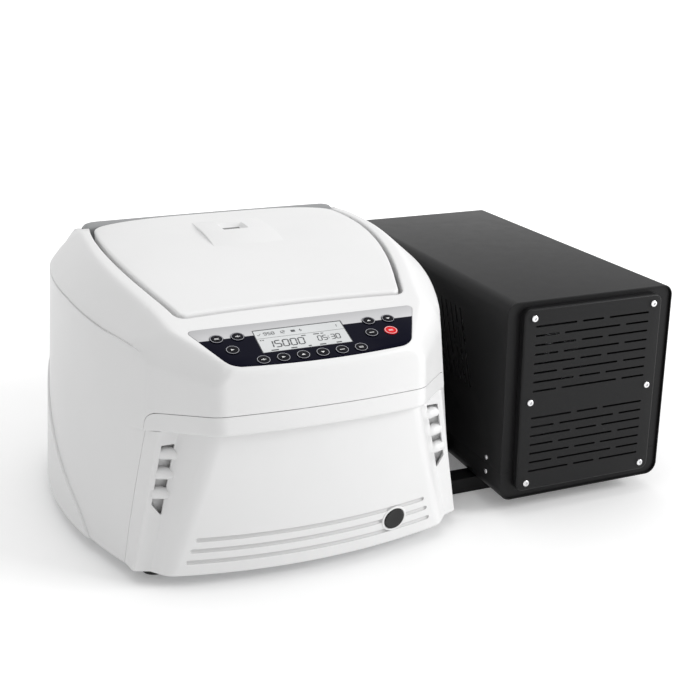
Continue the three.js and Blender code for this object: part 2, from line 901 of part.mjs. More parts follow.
// Housing, front moulding and rear cover come from one hollow form
const outerForm = unitForm(0, bodyBottom);
const innerForm = unitForm(skinWall, bodyBottom - overrun);
const skin = cut(outerForm, innerForm);

// Notches for the cross bars, and holes for the refrigerant lines
const barTall = boxBottom - fitGap;
const barNotches = [barFrontY, barRearY].map((y) => (
  block(barLeft, boxLeft, y - fitGap, y + barWide + fitGap, 0, barTall + fitGap)
));
const linePlaces = [lineFrontY, lineFrontY + lineSpacing];
const lineHoleStart = sideReach - overrun * 6;
const lineHoleEnd = boxLeft + overrun * 2;
const lineHoles = linePlaces.map((y) => (
  rodX(bore(lineRadius, 12), lineHoleStart, lineHoleEnd, y, lineHeight, 12)
));

// Upper housing with its tray and deck
const tray = trayOutline();
const trayTop = roofPeakHeight + overrun * 2;
const trayHollow = prism(tray, deckTop, trayTop);
const trayBlank = prism(inset(tray, -deckWall), deckTop - deckWall, trayTop);
const trayBody = common(cut(outerForm, ...roofTrims(skinWall / 2)), trayBlank);
const bowlOutside = bowlRadius + bowlSheet;
const bowlHole = post(
  bore(bowlOutside, bowlSides),
  0,
  axisY,
  deckTop - overrun,
  deckTop + overrun,
  bowlSides,
);
const boardPosts = [-1, 1].flatMap((side) => [boardTopDown, boardSideDown].map((down) => {
  const x = side * (boardTopHalf - boardPostRadius);
  const middle = down === boardTopDown ? down + boardPostRadius : down - boardPostRadius;
  return slopePost(boardPostRadius, x, middle, boardTop + fitGap, -skinWall / 2, 8);
}));
const rodHoleReach = troughHalf + deckWall + overrun;
const rodHole = rodX(bore(hingeRodRadius, 12), -rodHoleReach, rodHoleReach, hingeY, hingeHeight, 12);
const hookSlot = block(
  -hookWidth / 2 - overrun / 2,
  hookWidth / 2 + overrun / 2,
  hookY - hookThickness,
  hookY + hookThickness,
  deckTop - overrun,
  deckTop + overrun,
);
const upperHousing = cut(
  join(cut(skin, trayHollow), cut(trayBody, trayHollow), ...boardPosts),
  bowlHole,
  rodHole,
  hookSlot,
  frontRegion(seamGap / 2),
  rearRegion(seamGap / 2),
  onSlope(prism(panelOutline(-fitGap), panelFloor, overrun)),
  displayHole,
  ...keyHoles,
  ...barNotches,
);
part("upper_housing", upperHousing, whitePlastic);

// Front moulding, with grooves, button boss and gills
const grooveCutters = grooveHeights.map((height, row) => {
  const rings = [];
  for (let step = 0; step <= grooveSteps; step += 1) {
    const x = mix(-grooveHalves[row], grooveHalves[row], step / grooveSteps);
    const face = faceDepth(x, height);
    const section = [
      [face + grooveDepth, height - grooveTall / 2],
      [face + grooveDepth, height + grooveTall / 2],
      [face - overrun, height + grooveTall / 2],
      [face - overrun, height - grooveTall / 2],
    ];
    rings.push(section.map(([y, z]) => new THREE.Vector3(x, y, z)));
  }
  return loft(rings);
});
const buttonPoint = new THREE.Vector3(buttonX, faceDepth(buttonX, buttonHeight), buttonHeight);
const buttonOut = new THREE.Vector3(buttonX / frontArcRadius, -1, -faceLean).normalize();
function atButton(geometry) {
  const turn = new THREE.Quaternion().setFromUnitVectors(new THREE.Vector3(0, 0, 1), buttonOut);
  return geometry.applyQuaternion(turn).translate(buttonPoint.x, buttonPoint.y, buttonPoint.z);
}
const gillCutters = [];
const gillFins = [];
for (const side of [1, -1]) {
  const gillCorners = [
    [gillInnerTopX, gillTop],
    [gillTipX, gillTip],
    [gillOuterBottomX, gillBottom],
    [gillOuterTopX, gillTop],
  ].map(([x, z]) => new THREE.Vector2(side * x, z));
  if (side < 0) gillCorners.reverse();
  const gillFront = pillarInnerHeadY - gillDepth;
  gillCutters.push(alongY(gillCorners, gillFront, gillFront + 2 * gillDepth));
  for (let index = 0; index < finCount; index += 1) {
    const height = finTop - index * finPitch;
    const rise = (height - bodyBottom) / (browBottom - bodyBottom);
    const innerX = mix(pillarInnerFootX, pillarInnerHeadX, rise);
    const innerY = mix(pillarInnerFootY, pillarInnerHeadY, rise);
    const fin = rodX(finRadius, -finLength / 2, finLength / 2, 0, 0, 8);
    const acrossPillar = pillarOuterHeadX - pillarInnerHeadX;
    const swing = Math.atan2(pillarOuterHeadY - pillarInnerHeadY + finRadius, acrossPillar);
    fin.rotateZ(swing).translate(innerX + finLength / 3, innerY + finRadius, height);
    gillFins.push(side > 0 ? fin : outward(fin.scale(-1, 1, 1)));
  }
}
const faceWithBoss = join(
  cut(skin, ...grooveCutters, ...gillCutters),
  atButton(post(bossRadius, 0, 0, -bossBack, bossProud)),
);
const frontPanel = cut(
  common(join(faceWithBoss, ...gillFins.map((fin) => common(fin, outerForm))), frontRegion(-seamGap / 2)),
  atButton(post(bore(buttonRadius, 20), 0, 0, -overrun * 3, overrun)),
);
part("front_panel", frontPanel, whitePlastic);

// Rear cover, proud of the housing
const rearTop = creaseLow + creaseRise + overrun;
const rearShell = (wall, bottom) => loft([
  ringAt(inset(upperPlan(bottom), wall), bottom),
  ringAt(inset(upperPlan(rearTop), wall), rearTop),
]);
const inletBack = rearY + rearCoverProud + inletProud;
const inletBlock = (gap) => block(
  inletX - inletWidth / 2 - gap,
  inletX + inletWidth / 2 + gap,
  inletBack - inletDepth - gap,
  inletBack,
  inletHeight - inletTall / 2 - gap,
  inletHeight + inletTall / 2 + gap,
);
const rearCover = cut(
  common(
    cut(rearShell(-rearCoverProud, bodyBottom), rearShell(skinWall, bodyBottom - overrun)),
    rearRegion(-seamGap / 2),
  ),
  inletBlock(fitGap),
  ...barNotches,
  ...lineHoles,
);
part("rear_cover", rearCover, whitePlastic);

// Base plate and feet
const plateBottom = boxBottom;
const plateTop = plateBottom + basePlateThickness;
const plateRing = (height) => ringAt(inset(lowerPlan(height), skinWall + plateGap), height);
part("base_plate", loft([plateRing(plateBottom), plateRing(plateTop)]), aluminium);
const footPlaces = { left: -footX, right: footX };
for (const [side, x] of Object.entries(footPlaces)) {
  for (const [end, y] of Object.entries({ front: footFrontY, rear: footRearY })) {
    const foot = post(footRadius - footTaper, x, y, 0, plateBottom - fitGap, 24, footRadius);
    part(`foot_${end}_${side}`, foot, rubber);
  }
}

// Lid
function crownAt(x, y) {
  const front = THREE.MathUtils.smoothstep(y, openingFrontY, openingFrontY + lidCrownRun);
  const rear = THREE.MathUtils.smoothstep(y, openingRearY - lidRearCrownRun, openingRearY);
  const across = Math.max(0, 1 - (x / openingX(y)) ** 4);
  return (lidCrown * front + lidRearCrown * rear) * across;
}
function lidForm(wall, bottom) {
  const plan = inset(openingOutline(), lidGap + wall);
  const topAt = (point, drop) => new THREE.Vector3(
    point.x,
    point.y,
    lidPlane(point.y) + crownAt(point.x, point.y) - drop - wall,
  );
  const edge = inset(plan, lidEdge);
  const rings = [
    ringAt(plan, bottom),
    plan.map((point) => topAt(point, lidEdge)),
    edge.map((point) => topAt(point, 0)),
  ];
  for (const share of lidRingShares) {
    rings.push(edge.map((point) => {
      const inner = new THREE.Vector2(point.x * share, mix(lidPeakY, point.y, share));
      return topAt(inner, 0);
    }));
  }
  return loft(rings);
}
const bumpMiddleY = (bumpFrontY + bumpRearY) / 2;
const bumpRings = [];
for (let step = 0; step <= bumpSteps; step += 1) {
  const y = mix(bumpFrontY, bumpRearY, step / bumpSteps);
  const low = lidPlane(y) + crownAt(0, y) - lidWall;
  const rise = bumpRise * (1 - ((y - bumpMiddleY) / (bumpMiddleY - bumpFrontY)) ** 2);
  const high = lidPlane(y) + crownAt(0, y) + rise;
  const section = [[-bumpHalf, low], [-bumpHalf, high], [bumpHalf, high], [bumpHalf, low]];
  bumpRings.push(section.map(([x, z]) => new THREE.Vector3(x, y, z)));
}
const pocketFloor = lidPlane(windowY) + crownAt(0, windowY) - pocketDepth;
const pocketBlock = (half, z0, z1) => block(-half, half, windowY - half, windowY + half, z0, z1);
const lidTop = roofPeakHeight + lidCrown + lidRearCrown + bumpRise + overrun;
const lidShell = cut(
  join(
    cut(lidForm(0, lidSkirtBottom), lidForm(lidWall, lidSkirtBottom - overrun)),
    loft(bumpRings),
    common(
      pocketBlock(pocketHalf + pocketWall, pocketFloor - pocketWall, lidTop),
      lidForm(lidWall / 2, lidSkirtBottom),
    ),
  ),
  pocketBlock(pocketHalf, pocketFloor, lidTop),
  pocketBlock(windowHalf, pocketFloor - overrun, lidTop),
);
part("lid_shell", lidShell, whitePlastic);
const window = pocketBlock(windowHalf - fitGap, pocketFloor - windowThickness, pocketFloor);
part("lid_window", window, darkGlass);
const linerPlan = inset(openingOutline(), lidGap + lidWall + fitGap);
const linerTop = linerBottom + linerThickness;
const sightHole = post(windowHalf, 0, windowY, linerBottom - overrun, linerTop + overrun);
part("lid_liner", cut(prism(linerPlan, linerBottom, linerTop), sightHole), greyPlastic);

// Hinge bar with its two arms, and the rod it turns on
const lidRearY = openingRearY - lidGap;
const armBlocks = [-hingeArmX, hingeArmX].map((x) => block(
  x - hingeArmWidth / 2,
  x + hingeArmWidth / 2,
  lidRearY + fitGap,
  hingeY,
  hingeHeight - hingeArmHeight / 2,
  hingeHeight + hingeArmHeight / 2,
));
const hingeBar = cut(
  join(rodX(hingeBarRadius, -hingeBarHalf, hingeBarHalf, hingeY, hingeHeight, 20), ...armBlocks),
  rodX(bore(hingeRodRadius, 12), -troughHalf, troughHalf, hingeY, hingeHeight, 12),
);
part("hinge_bar", hingeBar, greyPlastic);
const rodReach = troughHalf + deckWall - fitGap;
part("hinge_rod", rodX(hingeRodRadius, -rodReach, rodReach, hingeY, hingeHeight, 12), stainless);

// Latch: the hook on the lid, and the block and bolt under the deck
const hookBottom = deckTop - hookDrop;
const boltHeight = hookBottom + hookDrop / 4 + boltRadius;
const hookBlock = block(
  -hookWidth / 2,
  hookWidth / 2,
  hookY - hookThickness / 2,
  hookY + hookThickness / 2,
  hookBottom,
  linerBottom - fitGap,
);
const boltStart = hookWidth / 2 + 2 * fitGap;
const hookHole = rodX(
  bore(boltRadius, 12),
  hookWidth / 2 - hookHoleDepth,
  hookWidth / 2 + overrun,
  hookY,
  boltHeight,
  12,
);
part("latch_hook", cut(hookBlock, hookHole), stainless);
const latchTop = deckTop - deckWall - fitGap;
const latchBlock = cut(
  block(
    -latchBlockWidth / 2,
    latchBlockWidth / 2,
    hookY - latchBlockDepth / 2,
    hookY + latchBlockDepth / 2,
    latchTop - latchBlockTall,
    latchTop,
  ),
  block(
    -hookWidth / 2 - overrun / 2,
    hookWidth / 2 + overrun / 2,
    hookY - hookThickness,
    hookY + hookThickness,
    hookBottom - overrun / 2,
    latchTop + overrun,
  ),
  rodX(bore(boltRadius, 12), 0, latchBlockWidth, hookY, boltHeight, 12),
);
part("latch_block", latchBlock, darkPlastic);
part("latch_bolt", rodX(boltRadius, boltStart, boltStart + boltLength, hookY, boltHeight, 12), stainless);

// Chamber bowl, seal, cooling coil and insulation
const flangeBottom = deckTop + fitGap;
const flangeTop = flangeBottom + bowlSheet;
const bowlBend = bowlBottomRadius * bowlCornerShare;
const bowl = turned([
  [bowlHoleRadius, bowlFloor],
  [bowlRadius - bowlBottomRadius, bowlFloor],
  [bowlRadius - bowlBend, bowlFloor + bowlBend],
  [bowlRadius, bowlFloor + bowlBottomRadius],
  [bowlRadius, flangeTop],
  [bowlOutside + bowlFlange, flangeTop],
  [bowlOutside + bowlFlange, flangeBottom],
  [bowlOutside, flangeBottom],
  [bowlOutside, bowlFloor + bowlBottomRadius],
  [bowlOutside - bowlBend, bowlFloor - bowlSheet + bowlBend],
  [bowlRadius - bowlBottomRadius, bowlFloor - bowlSheet],
  [bowlHoleRadius, bowlFloor - bowlSheet],
  [bowlHoleRadius, bowlFloor],
], 0, axisY);
part("chamber_bowl", bowl, stainless);
const ring = (inner, outer, z0, z1, sides) => turned([
  [inner, z0],
  [outer, z0],
  [outer, z1],
  [inner, z1],
  [inner, z0],
], 0, axisY, sides);
const sealInner = sealRadius - sealWidth / 2;
const seal = ring(sealInner, sealInner + sealWidth, flangeTop + fitGap, linerBottom - fitGap);
part("lid_seal", seal, rubber);
const coilRadius = bowlOutside + coilGap + coilTube;
const coilTop = coilBottom + coilTurns * coilPitch;
const coilPoints = [
  [coilStubReach, axisY, coilBottom],
  [coilStubReach - coilStub, axisY, coilBottom],
];
for (let step = 1; step < coilTurns * coilStepsPerTurn; step += 1) {
  const angle = 2 * Math.PI * step / coilStepsPerTurn;
  const height = mix(coilBottom, coilTop, step / (coilTurns * coilStepsPerTurn));
  coilPoints.push([coilRadius * Math.cos(angle), axisY + coilRadius * Math.sin(angle), height]);
}
coilPoints.push([coilStubReach - coilStub, axisY, coilTop], [coilStubReach, axisY, coilTop]);
part("evaporator_coil", tube(coilPoints, coilTube, coilPoints.length, 6), copper);
const foamInner = bore(coilRadius + coilTube + fitGap, bowlSides);
const foamOuter = foamInner + foamWall;
const foamTopFace = deckTop - deckWall - fitGap;
const foamUnderBowl = bowlFloor - bowlSheet - fitGap;
const foamBody = turned([
  [bowlHoleRadius, foamUnderBowl - foamFloor],
  [foamOuter, foamUnderBowl - foamFloor],
  [foamOuter, foamTopFace],
  [foamInner, foamTopFace],
  [foamInner, foamUnderBowl],
  [bowlHoleRadius, foamUnderBowl],
  [bowlHoleRadius, foamUnderBowl - foamFloor],
], 0, axisY);
const stubRoom = coilTube + fitGap + coilPitch / coilStepsPerTurn;
const stubRun = coilTube * 16;
const stubNotch = (height, y0, y1) => block(
  foamInner - foamWall,
  foamOuter + overrun,
  y0,
  y1,
  height - stubRoom,
  height + stubRoom,
);
const foamRing = cut(
  foamBody,
  stubNotch(coilBottom, axisY - coilTube * 2, axisY + stubRun),
  stubNotch(coilTop, axisY - stubRun, axisY + coilTube * 2),
  block(
    -latchBlockWidth / 2 - overrun,
    latchBlockWidth / 2 + overrun,
    hookY - latchBlockDepth * 2,
    hookY + latchBlockDepth / 2 + fitGap,
    latchTop - latchBlockTall - fitGap,
    deckTop,
  ),
);
part("insulation", foamRing, foam);

// Motor on its plate and rubber dampers
const shaftBore = bore(shaftRadius, 12);
const motorSeat = motorHubTop - shaftSeat;
const motor = turned([
  [0, motorBottom],
  [motorRadius, motorBottom],
  [motorRadius, motorPlateHeight - fitGap],
  [motorHubRadius, motorPlateHeight - fitGap],
  [motorHubRadius, motorHubTop],
  [shaftBore, motorHubTop],
  [shaftBore, motorSeat],
  [0, motorSeat],
], 0, axisY, 24);
part("motor", motor, aluminium);
const plateHole = bore(motorHubRadius, 24);
const motorPlateTop = motorPlateHeight + motorPlateThickness;
part("motor_plate", ring(plateHole, motorPlateRadius, motorPlateHeight, motorPlateTop, 24), aluminium);
for (let index = 0; index < damperCount; index += 1) {
  const angle = 2 * Math.PI * index / damperCount + Math.PI / 2;
  const low = plateTop + fitGap;
  const high = motorPlateHeight - fitGap;
  const damper = turned([
    [0, low],
    [damperRadius, low],
    [damperRadius, mix(low, high, damperShares[0])],
    [damperWaist, mix(low, high, damperShares[1])],
    [damperWaist, mix(low, high, damperShares[2])],
    [damperRadius, mix(low, high, damperShares[3])],
    [damperRadius, high],
    [0, high],
  ], damperReach * Math.cos(angle), axisY + damperReach * Math.sin(angle), 10);
  part(`damper_${index + 1}`, damper, rubber);
}
const shaft = turned([
  [0, motorSeat + fitGap],
  [shaftRadius, motorSeat + fitGap],
  [shaftRadius, rotorBottom - fitGap - shaftCollarTall],
  [shaftCollar, rotorBottom - fitGap - shaftCollarTall],
  [shaftCollar, rotorBottom - fitGap],
  [shaftRadius, rotorBottom - fitGap],
  [shaftRadius, shaftTop],
  [0, shaftTop],
], 0, axisY, 12);
part("motor_shaft", shaft, stainless);

// Rotor with leaning tube holes, its lid and the knob that holds the lid
const rotorLidBottom = rotorRim + fitGap;
const rotorLidTop = rotorLidBottom + rotorLidThickness;
const rotorSolid = turned([
  [shaftBore, rotorBottom],
  [rotorRadius - rotorFoot, rotorBottom],
  [rotorRadius, rotorBottom + rotorFoot],
  [rotorRadius, rotorRim],
  [rotorRadius - rotorLip, rotorRim],
  [rotorWellRadius, rotorWell],
  [rotorHubRadius, rotorWell],
  [rotorHubRadius, rotorLidTop],
  [shaftBore, rotorLidTop],
  [shaftBore, rotorBottom],
], 0, axisY, rotorSides);
const wellShare = (tubeMouthReach - rotorWellRadius) / (rotorRadius - rotorLip - rotorWellRadius);
const mouthHeight = mix(rotorWell, rotorRim, wellShare);
const tubeCutters = [];
for (let index = 0; index < tubeHoles; index += 1) {
  const hole = post(tubeRadius, 0, 0, -tubeDepth, tubeRadius * 2, 12);
  hole.rotateY(-tubeLean).translate(tubeMouthReach, 0, mouthHeight);
  hole.rotateZ(2 * Math.PI * index / tubeHoles).translate(0, axisY, 0);
  tubeCutters.push(hole);
}
part("rotor_body", cut(rotorSolid, ...tubeCutters), darkPlastic);
const rotorLidBore = bore(rotorHubRadius, rotorSides);
const rotorLid = turned([
  [rotorLidBore, rotorLidBottom],
  [rotorRadius, rotorLidBottom],
  [rotorRadius, mix(rotorLidBottom, rotorLidTop, 0.5)],
  [rotorRadius - rotorLip, rotorLidTop],
  [rotorLidBore, rotorLidTop],
  [rotorLidBore, rotorLidBottom],
], 0, axisY, rotorSides);
part("rotor_lid", rotorLid, aluminium);
const knobBottom = rotorLidTop + fitGap;
const knob = turned([
  [0, knobBottom],
  [rotorHubRadius + knobFlange, knobBottom],
  [rotorHubRadius + knobFlange, knobBottom + knobFlangeTall],
  [knobRadius, knobBottom + knobFlangeTall],
  [knobRadius, knobBottom + knobHeight],
  [0, knobBottom + knobHeight],
], 0, axisY, 18);
part("rotor_knob", knob, darkPlastic);

// Control panel, display, keys and circuit board
const panelKeyHoles = keys.map(([, x, down]) => (
  slopePost(bore(keyRadius, keySides), x, down, -overrun, overrun, keySides)
));
const panel = cut(onSlope(prism(panelOutline(0), -panelSheet, 0)), displayHole, ...panelKeyHoles);
part("control_panel", panel, navyPlastic);
const display = slopeBlock(
  displayMiddleX - displayHalf,
  displayMiddleX + displayHalf,
  displayTopDown,
  displayBottomDown,
  boardTop + fitGap,
  -displaySetback,
);
part("display", display, liquidCrystal);
const boardOutline = outline(mirrored([
  [boardBottomHalf, -boardBottomDown],
  [boardTopHalf, -boardSideDown],
  [boardTopHalf, -boardTopDown],
]));
part("circuit_board", onSlope(prism(boardOutline, boardTop - boardThickness, boardTop)), boardGreen);
for (const [name, x, down, finish] of keys) {
  const key = turned([
    [0, boardTop + keyTravel + fitGap],
    [keyStemRadius, boardTop + keyTravel + fitGap],
    [keyStemRadius, keyProud - keyCap],
    [keyRadius, keyProud - keyCap],
    [keyRadius, keyProud],
    [0, keyProud],
  ], x, -down, keySides);
  part(name, onSlope(key), finish);
}

// Round push button low on the front
const button = turned([
  [0, -buttonStem],
  [buttonStemRadius, -buttonStem],
  [buttonStemRadius, -bossBack - fitGap - buttonFlangeTall],
  [buttonFlange, -bossBack - fitGap - buttonFlangeTall],
  [buttonFlange, -bossBack - fitGap],
  [buttonRadius, -bossBack - fitGap],
  [buttonRadius, buttonProud],
  [0, buttonProud],
], 0, 0, 20);
part("front_button", atButton(button), rubber);

// Mains inlet with its rocker switch
const socketBlock = block(
  inletX + socketShift - socketWidth / 2,
  inletX + socketShift + socketWidth / 2,
  inletBack - socketDepth,
  inletBack + overrun,
  inletHeight - socketTall / 2,
  inletHeight + socketTall / 2,
);
const rockerX = inletX + rockerShift;
const rockerHole = block(
  rockerX - rockerWidth / 2 - fitGap,
  rockerX + rockerWidth / 2 + fitGap,
  inletBack - rockerDepth,
  inletBack + overrun,
  inletHeight - rockerTall / 2 - rockerClearance,
  inletHeight + rockerTall / 2 + rockerClearance,
);
const pins = [-1, 0, 1].map((place) => block(
  inletX + socketShift + place * pinSpacing - pinWidth / 2,
  inletX + socketShift + place * pinSpacing + pinWidth / 2,
  inletBack - socketDepth - overrun / 2,
  inletBack - overrun,
  inletHeight - pinTall / 2,
  inletHeight + pinTall / 2,
));
part("power_inlet", join(cut(inletBlock(0), socketBlock, rockerHole), ...pins), darkPlastic);
const rocker = block(
  rockerX - rockerWidth / 2,
  rockerX + rockerWidth / 2,
  inletBack - rockerDepth + 3 * rockerClearance,
  inletBack + rockerProud,
  inletHeight - rockerTall / 2,
  inletHeight + rockerTall / 2,
);
part("power_switch", rocker, darkPlastic);

// Cooling box: cover, tray, grille and back
const boxRight = boxLeft + boxWidth;
const roundedFrame = (left, right, bottom, top, lowRadius, highRadius) => outline([
  [left, bottom, lowRadius],
  [right, bottom, lowRadius],
  [right, top, highRadius],
  [left, top, highRadius],
], 4);
const boxOutline = roundedFrame(boxLeft, boxRight, boxBottom, boxTop, boxBottomRadius, boxTopRadius);
const flangeOpening = roundedFrame(
  boxLeft + boxFlangeWidth,
  boxRight - boxFlangeWidth,
  boxBottom + boxFlangeWidth,
  boxTop - boxFlangeWidth,
  boxFlangeCorner,
  boxFlangeCorner,
);
const boxInside = alongY(inset(boxOutline, boxSheet), -overrun, boxDepth + overrun);
const boxTube = cut(alongY(boxOutline, 0, boxDepth), boxInside);
const boxFlange = cut(
  alongY(inset(boxOutline, boxSheet / 2), boxFlangeSetback, boxFlangeSetback + boxSheet),
  alongY(flangeOpening, -overrun, boxFlangeSetback + overrun),
);
const boxShell = join(boxTube, boxFlange);
const boxZone = (z0, z1) => (
  block(boxLeft - overrun, boxRight + overrun, -overrun, boxDepth + overrun, z0, z1)
);
const sideSlots = [];
for (let column = 0; column < sideSlotCount; column += 1) {
  const shares = column % 2 === 0 ? sideSlotTwoShares : sideSlotThreeShares;
  for (const [from, to] of shares) {
    const corner = (share, across) => new THREE.Vector2(
      sideSlotFirstY + sideSlotPitch * column - sideSlotLean * share + across,
      mix(sideSlotTop, sideSlotBottom, share),
    );
    const half = sideSlotWide / 2;
    const slot = [corner(from, -half), corner(from, half), corner(to, half), corner(to, -half)];
    sideSlots.push(acrossX(slot, boxLeft - overrun, boxLeft + overrun));
  }
}
const boxCover = cut(common(boxShell, boxZone(boxSeamHeight + fitGap / 2, boxTop + overrun)), ...sideSlots);
part("cooler_cover", boxCover, paintedBlack);
const boxTray = cut(common(boxShell, boxZone(0, boxSeamHeight - fitGap / 2)), ...lineHoles);
part("cooler_tray", boxTray, paintedBlack);
const grilleX = boxLeft + grilleLeft;
const grilleOutline = roundedFrame(
  grilleX,
  grilleX + grilleWidth,
  grilleBottom,
  grilleTop,
  grilleRadius,
  grilleRadius,
);
const grilleBack = boxFlangeSetback - fitGap;
const grilleSlots = [];
slotRows.forEach((rows, group) => {
  for (let row = 0; row < rows; row += 1) {
    const middle = slotTopHeights[group] - row * slotPitch;
    const shares = row % 2 === 0 ? slotLongShares : slotShortShares;
    for (const [from, to] of shares) {
      const left = grilleX + grilleWidth * from;
      const right = grilleX + grilleWidth * to;
      const ends = slotTall * slotEndShare;
      const slot = outline([
        [left, middle - slotTall / 2, ends],
        [right, middle - slotTall / 2, ends],
        [right, middle + slotTall / 2, ends],
        [left, middle + slotTall / 2, ends],
      ], 1);
      grilleSlots.push(alongY(slot, grilleFront - overrun, grilleFront + grilleSheet + overrun / 2));
    }
  }
});
const grille = cut(
  alongY(grilleOutline, grilleFront, grilleBack),
  alongY(inset(grilleOutline, grilleSheet), grilleFront + grilleSheet, grilleBack + overrun),
  ...grilleSlots,
);
part("grille_plate", grille, paintedBlack);
const boxMiddleX = (boxLeft + boxRight) / 2;
const backOutline = inset(boxOutline, boxSheet + fitGap);
const backY = boxDepth - boxFlangeSetback - boxSheet;
const backSlots = [];
for (let row = 0; row < backSlotRows; row += 1) {
  const middle = backSlotTop - row * backSlotPitch;
  backSlots.push(block(
    boxMiddleX - backSlotHalf,
    boxMiddleX + backSlotHalf,
    backY - overrun,
    boxDepth + overrun,
    middle - slotTall,
    middle + slotTall,
  ));
}
part("cooler_back", cut(alongY(backOutline, backY, backY + boxSheet), ...backSlots), paintedBlack);

// Compressor, condenser and fan
const boxFloor = boxBottom + boxSheet + fitGap;
const compressor = turned([
  [0, boxFloor],
  [compressorRadius, boxFloor],
  [compressorRadius, boxFloor + compressorHeight * compressorHeightShares[0]],
  [compressorRadius * compressorTopShare, boxFloor + compressorHeight * compressorHeightShares[1]],
  [0, boxFloor + compressorHeight],
], boxMiddleX, compressorY, 24);
part("compressor", compressor, paintedBlack);
const condenserLeft = boxMiddleX - condenserWidth / 2;
const finGrooves = [];
for (let index = 1; index < condenserFins; index += 1) {
  const middle = boxFloor + condenserTall * index / condenserFins;
  const half = condenserTall / condenserFins * condenserFinShare / 2;
  finGrooves.push(block(
    condenserLeft - overrun,
    condenserLeft + condenserWidth + overrun,
    condenserY + condenserDepth / 2,
    condenserY + condenserDepth + overrun,
    middle - half,
    middle + half,
  ));
}
const condenserBlock = block(
  condenserLeft,
  condenserLeft + condenserWidth,
  condenserY,
  condenserY + condenserDepth,
  boxFloor,
  boxFloor + condenserTall,
);
part("condenser", cut(condenserBlock, ...finGrooves), aluminium);
const fanHeight = boxFloor + condenserTall / 2;
const shroudBack = condenserY - fitGap;
const motorFront = fanY + fanDepth + fitGap;
const shroudPlate = block(
  condenserLeft,
  condenserLeft + condenserWidth,
  shroudBack - shroudSheet,
  shroudBack,
  boxFloor,
  boxFloor + condenserTall,
);
const spokes = [];
for (let index = 0; index < spokeCount; index += 1) {
  const spoke = block(
    -spokeWidth / 2,
    spokeWidth / 2,
    shroudBack - shroudSheet,
    shroudBack,
    0,
    shroudBore + overrun,
  );
  spokes.push(spoke.rotateY(2 * Math.PI * index / spokeCount).translate(boxMiddleX, 0, fanHeight));
}
const shroudHole = rodY(
  shroudBore,
  boxMiddleX,
  shroudBack - shroudSheet - overrun,
  shroudBack + overrun,
  fanHeight,
);
const fanShaftEnd = motorFront + fanShaftLength;
const fanHousing = rodY(fanMotorRadius, boxMiddleX, motorFront, shroudBack, fanHeight);
const fanMotor = cut(
  join(cut(shroudPlate, shroudHole), ...spokes, fanHousing),
  rodY(bore(fanShaftRadius, 12), boxMiddleX, motorFront - overrun, fanShaftEnd + fitGap, fanHeight, 12),
);
part("fan_motor", fanMotor, darkPlastic);
const blades = [];
for (let index = 0; index < fanBlades; index += 1) {
  const blade = block(
    -fanBladeChord / 2,
    fanBladeChord / 2,
    -fanBladeThickness / 2,
    fanBladeThickness / 2,
    fanHubRadius / 2,
    fanRadius,
  );
  blade.rotateZ(fanBladePitch).rotateY(2 * Math.PI * index / fanBlades);
  blades.push(blade.translate(boxMiddleX, fanY + fanDepth / 2, fanHeight));
}
const fan = join(
  rodY(fanHubRadius, boxMiddleX, fanY, fanY + fanDepth, fanHeight),
  rodY(fanShaftRadius, boxMiddleX, fanY + fanDepth / 2, fanShaftEnd, fanHeight, 12),
  ...blades,
);
part("condenser_fan", fan, darkPlastic);

// Cross bars that carry both halves
for (const [name, y] of [["front_bar", barFrontY], ["rear_bar", barRearY]]) {
  const bar = cut(
    block(barLeft, boxRight - barShort, y, y + barWide, 0, barTall),
    block(barLeft - overrun, boxRight, y + barWall, y + barWide - barWall, barWall, barTall - barWall),
  );
  part(name, bar, paintedBlack);
}

// Refrigerant lines from the coil, through both walls, to the condenser and the compressor
const lineStart = coilStubReach + fitGap;
function bends(from, to, shares) {
  return shares.map((share) => share.map((part, axis) => mix(from[axis], to[axis], part)));
}
function linePath(height, y, shares) {
  const lead = [lineStart + lineLead, axisY, height];
  const straight = [boxLeft - lineStraight, y, lineHeight];
  const outside = [boxLeft - lineInside, y, lineHeight];
  const inside = [boxLeft + lineInside, y, lineHeight];
  const start = [lineStart, axisY, height];
  return [start, lead, ...bends(lead, straight, shares), straight, outside, inside];
}
const supplyEnd = [condenserLeft - fitGap, lineFrontY, lineHeight];
const supplyPoints = [...linePath(coilBottom, lineFrontY, supplyShares), supplyEnd];
part("supply_line", tube(supplyPoints, lineRadius, 26, 6), rubber);
const returnPoints = linePath(coilTop, lineFrontY + lineSpacing, returnShares);
const returnInside = returnPoints[returnPoints.length - 1];
const returnEnd = [boxMiddleX - compressorRadius - fitGap, compressorY, returnPortHeight];
returnPoints.push(...bends(returnInside, returnEnd, compressorShares), returnEnd);
part("return_line", tube(returnPoints, lineRadius, 40, 6), rubber);

// Centre the model over its own footprint
const bounds = new THREE.Box3().setFromObject(centrifuge);
const middle = bounds.getCenter(new THREE.Vector3());
centrifuge.position.set(-middle.x, -middle.y, 0);
centrifuge.updateMatrixWorld(true);

export default centrifuge;
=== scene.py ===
"""Looks of the refrigerated centrifuge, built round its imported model."""

import json
import math

import bmesh
import bpy
import numpy as np
from mathutils import Matrix, Vector

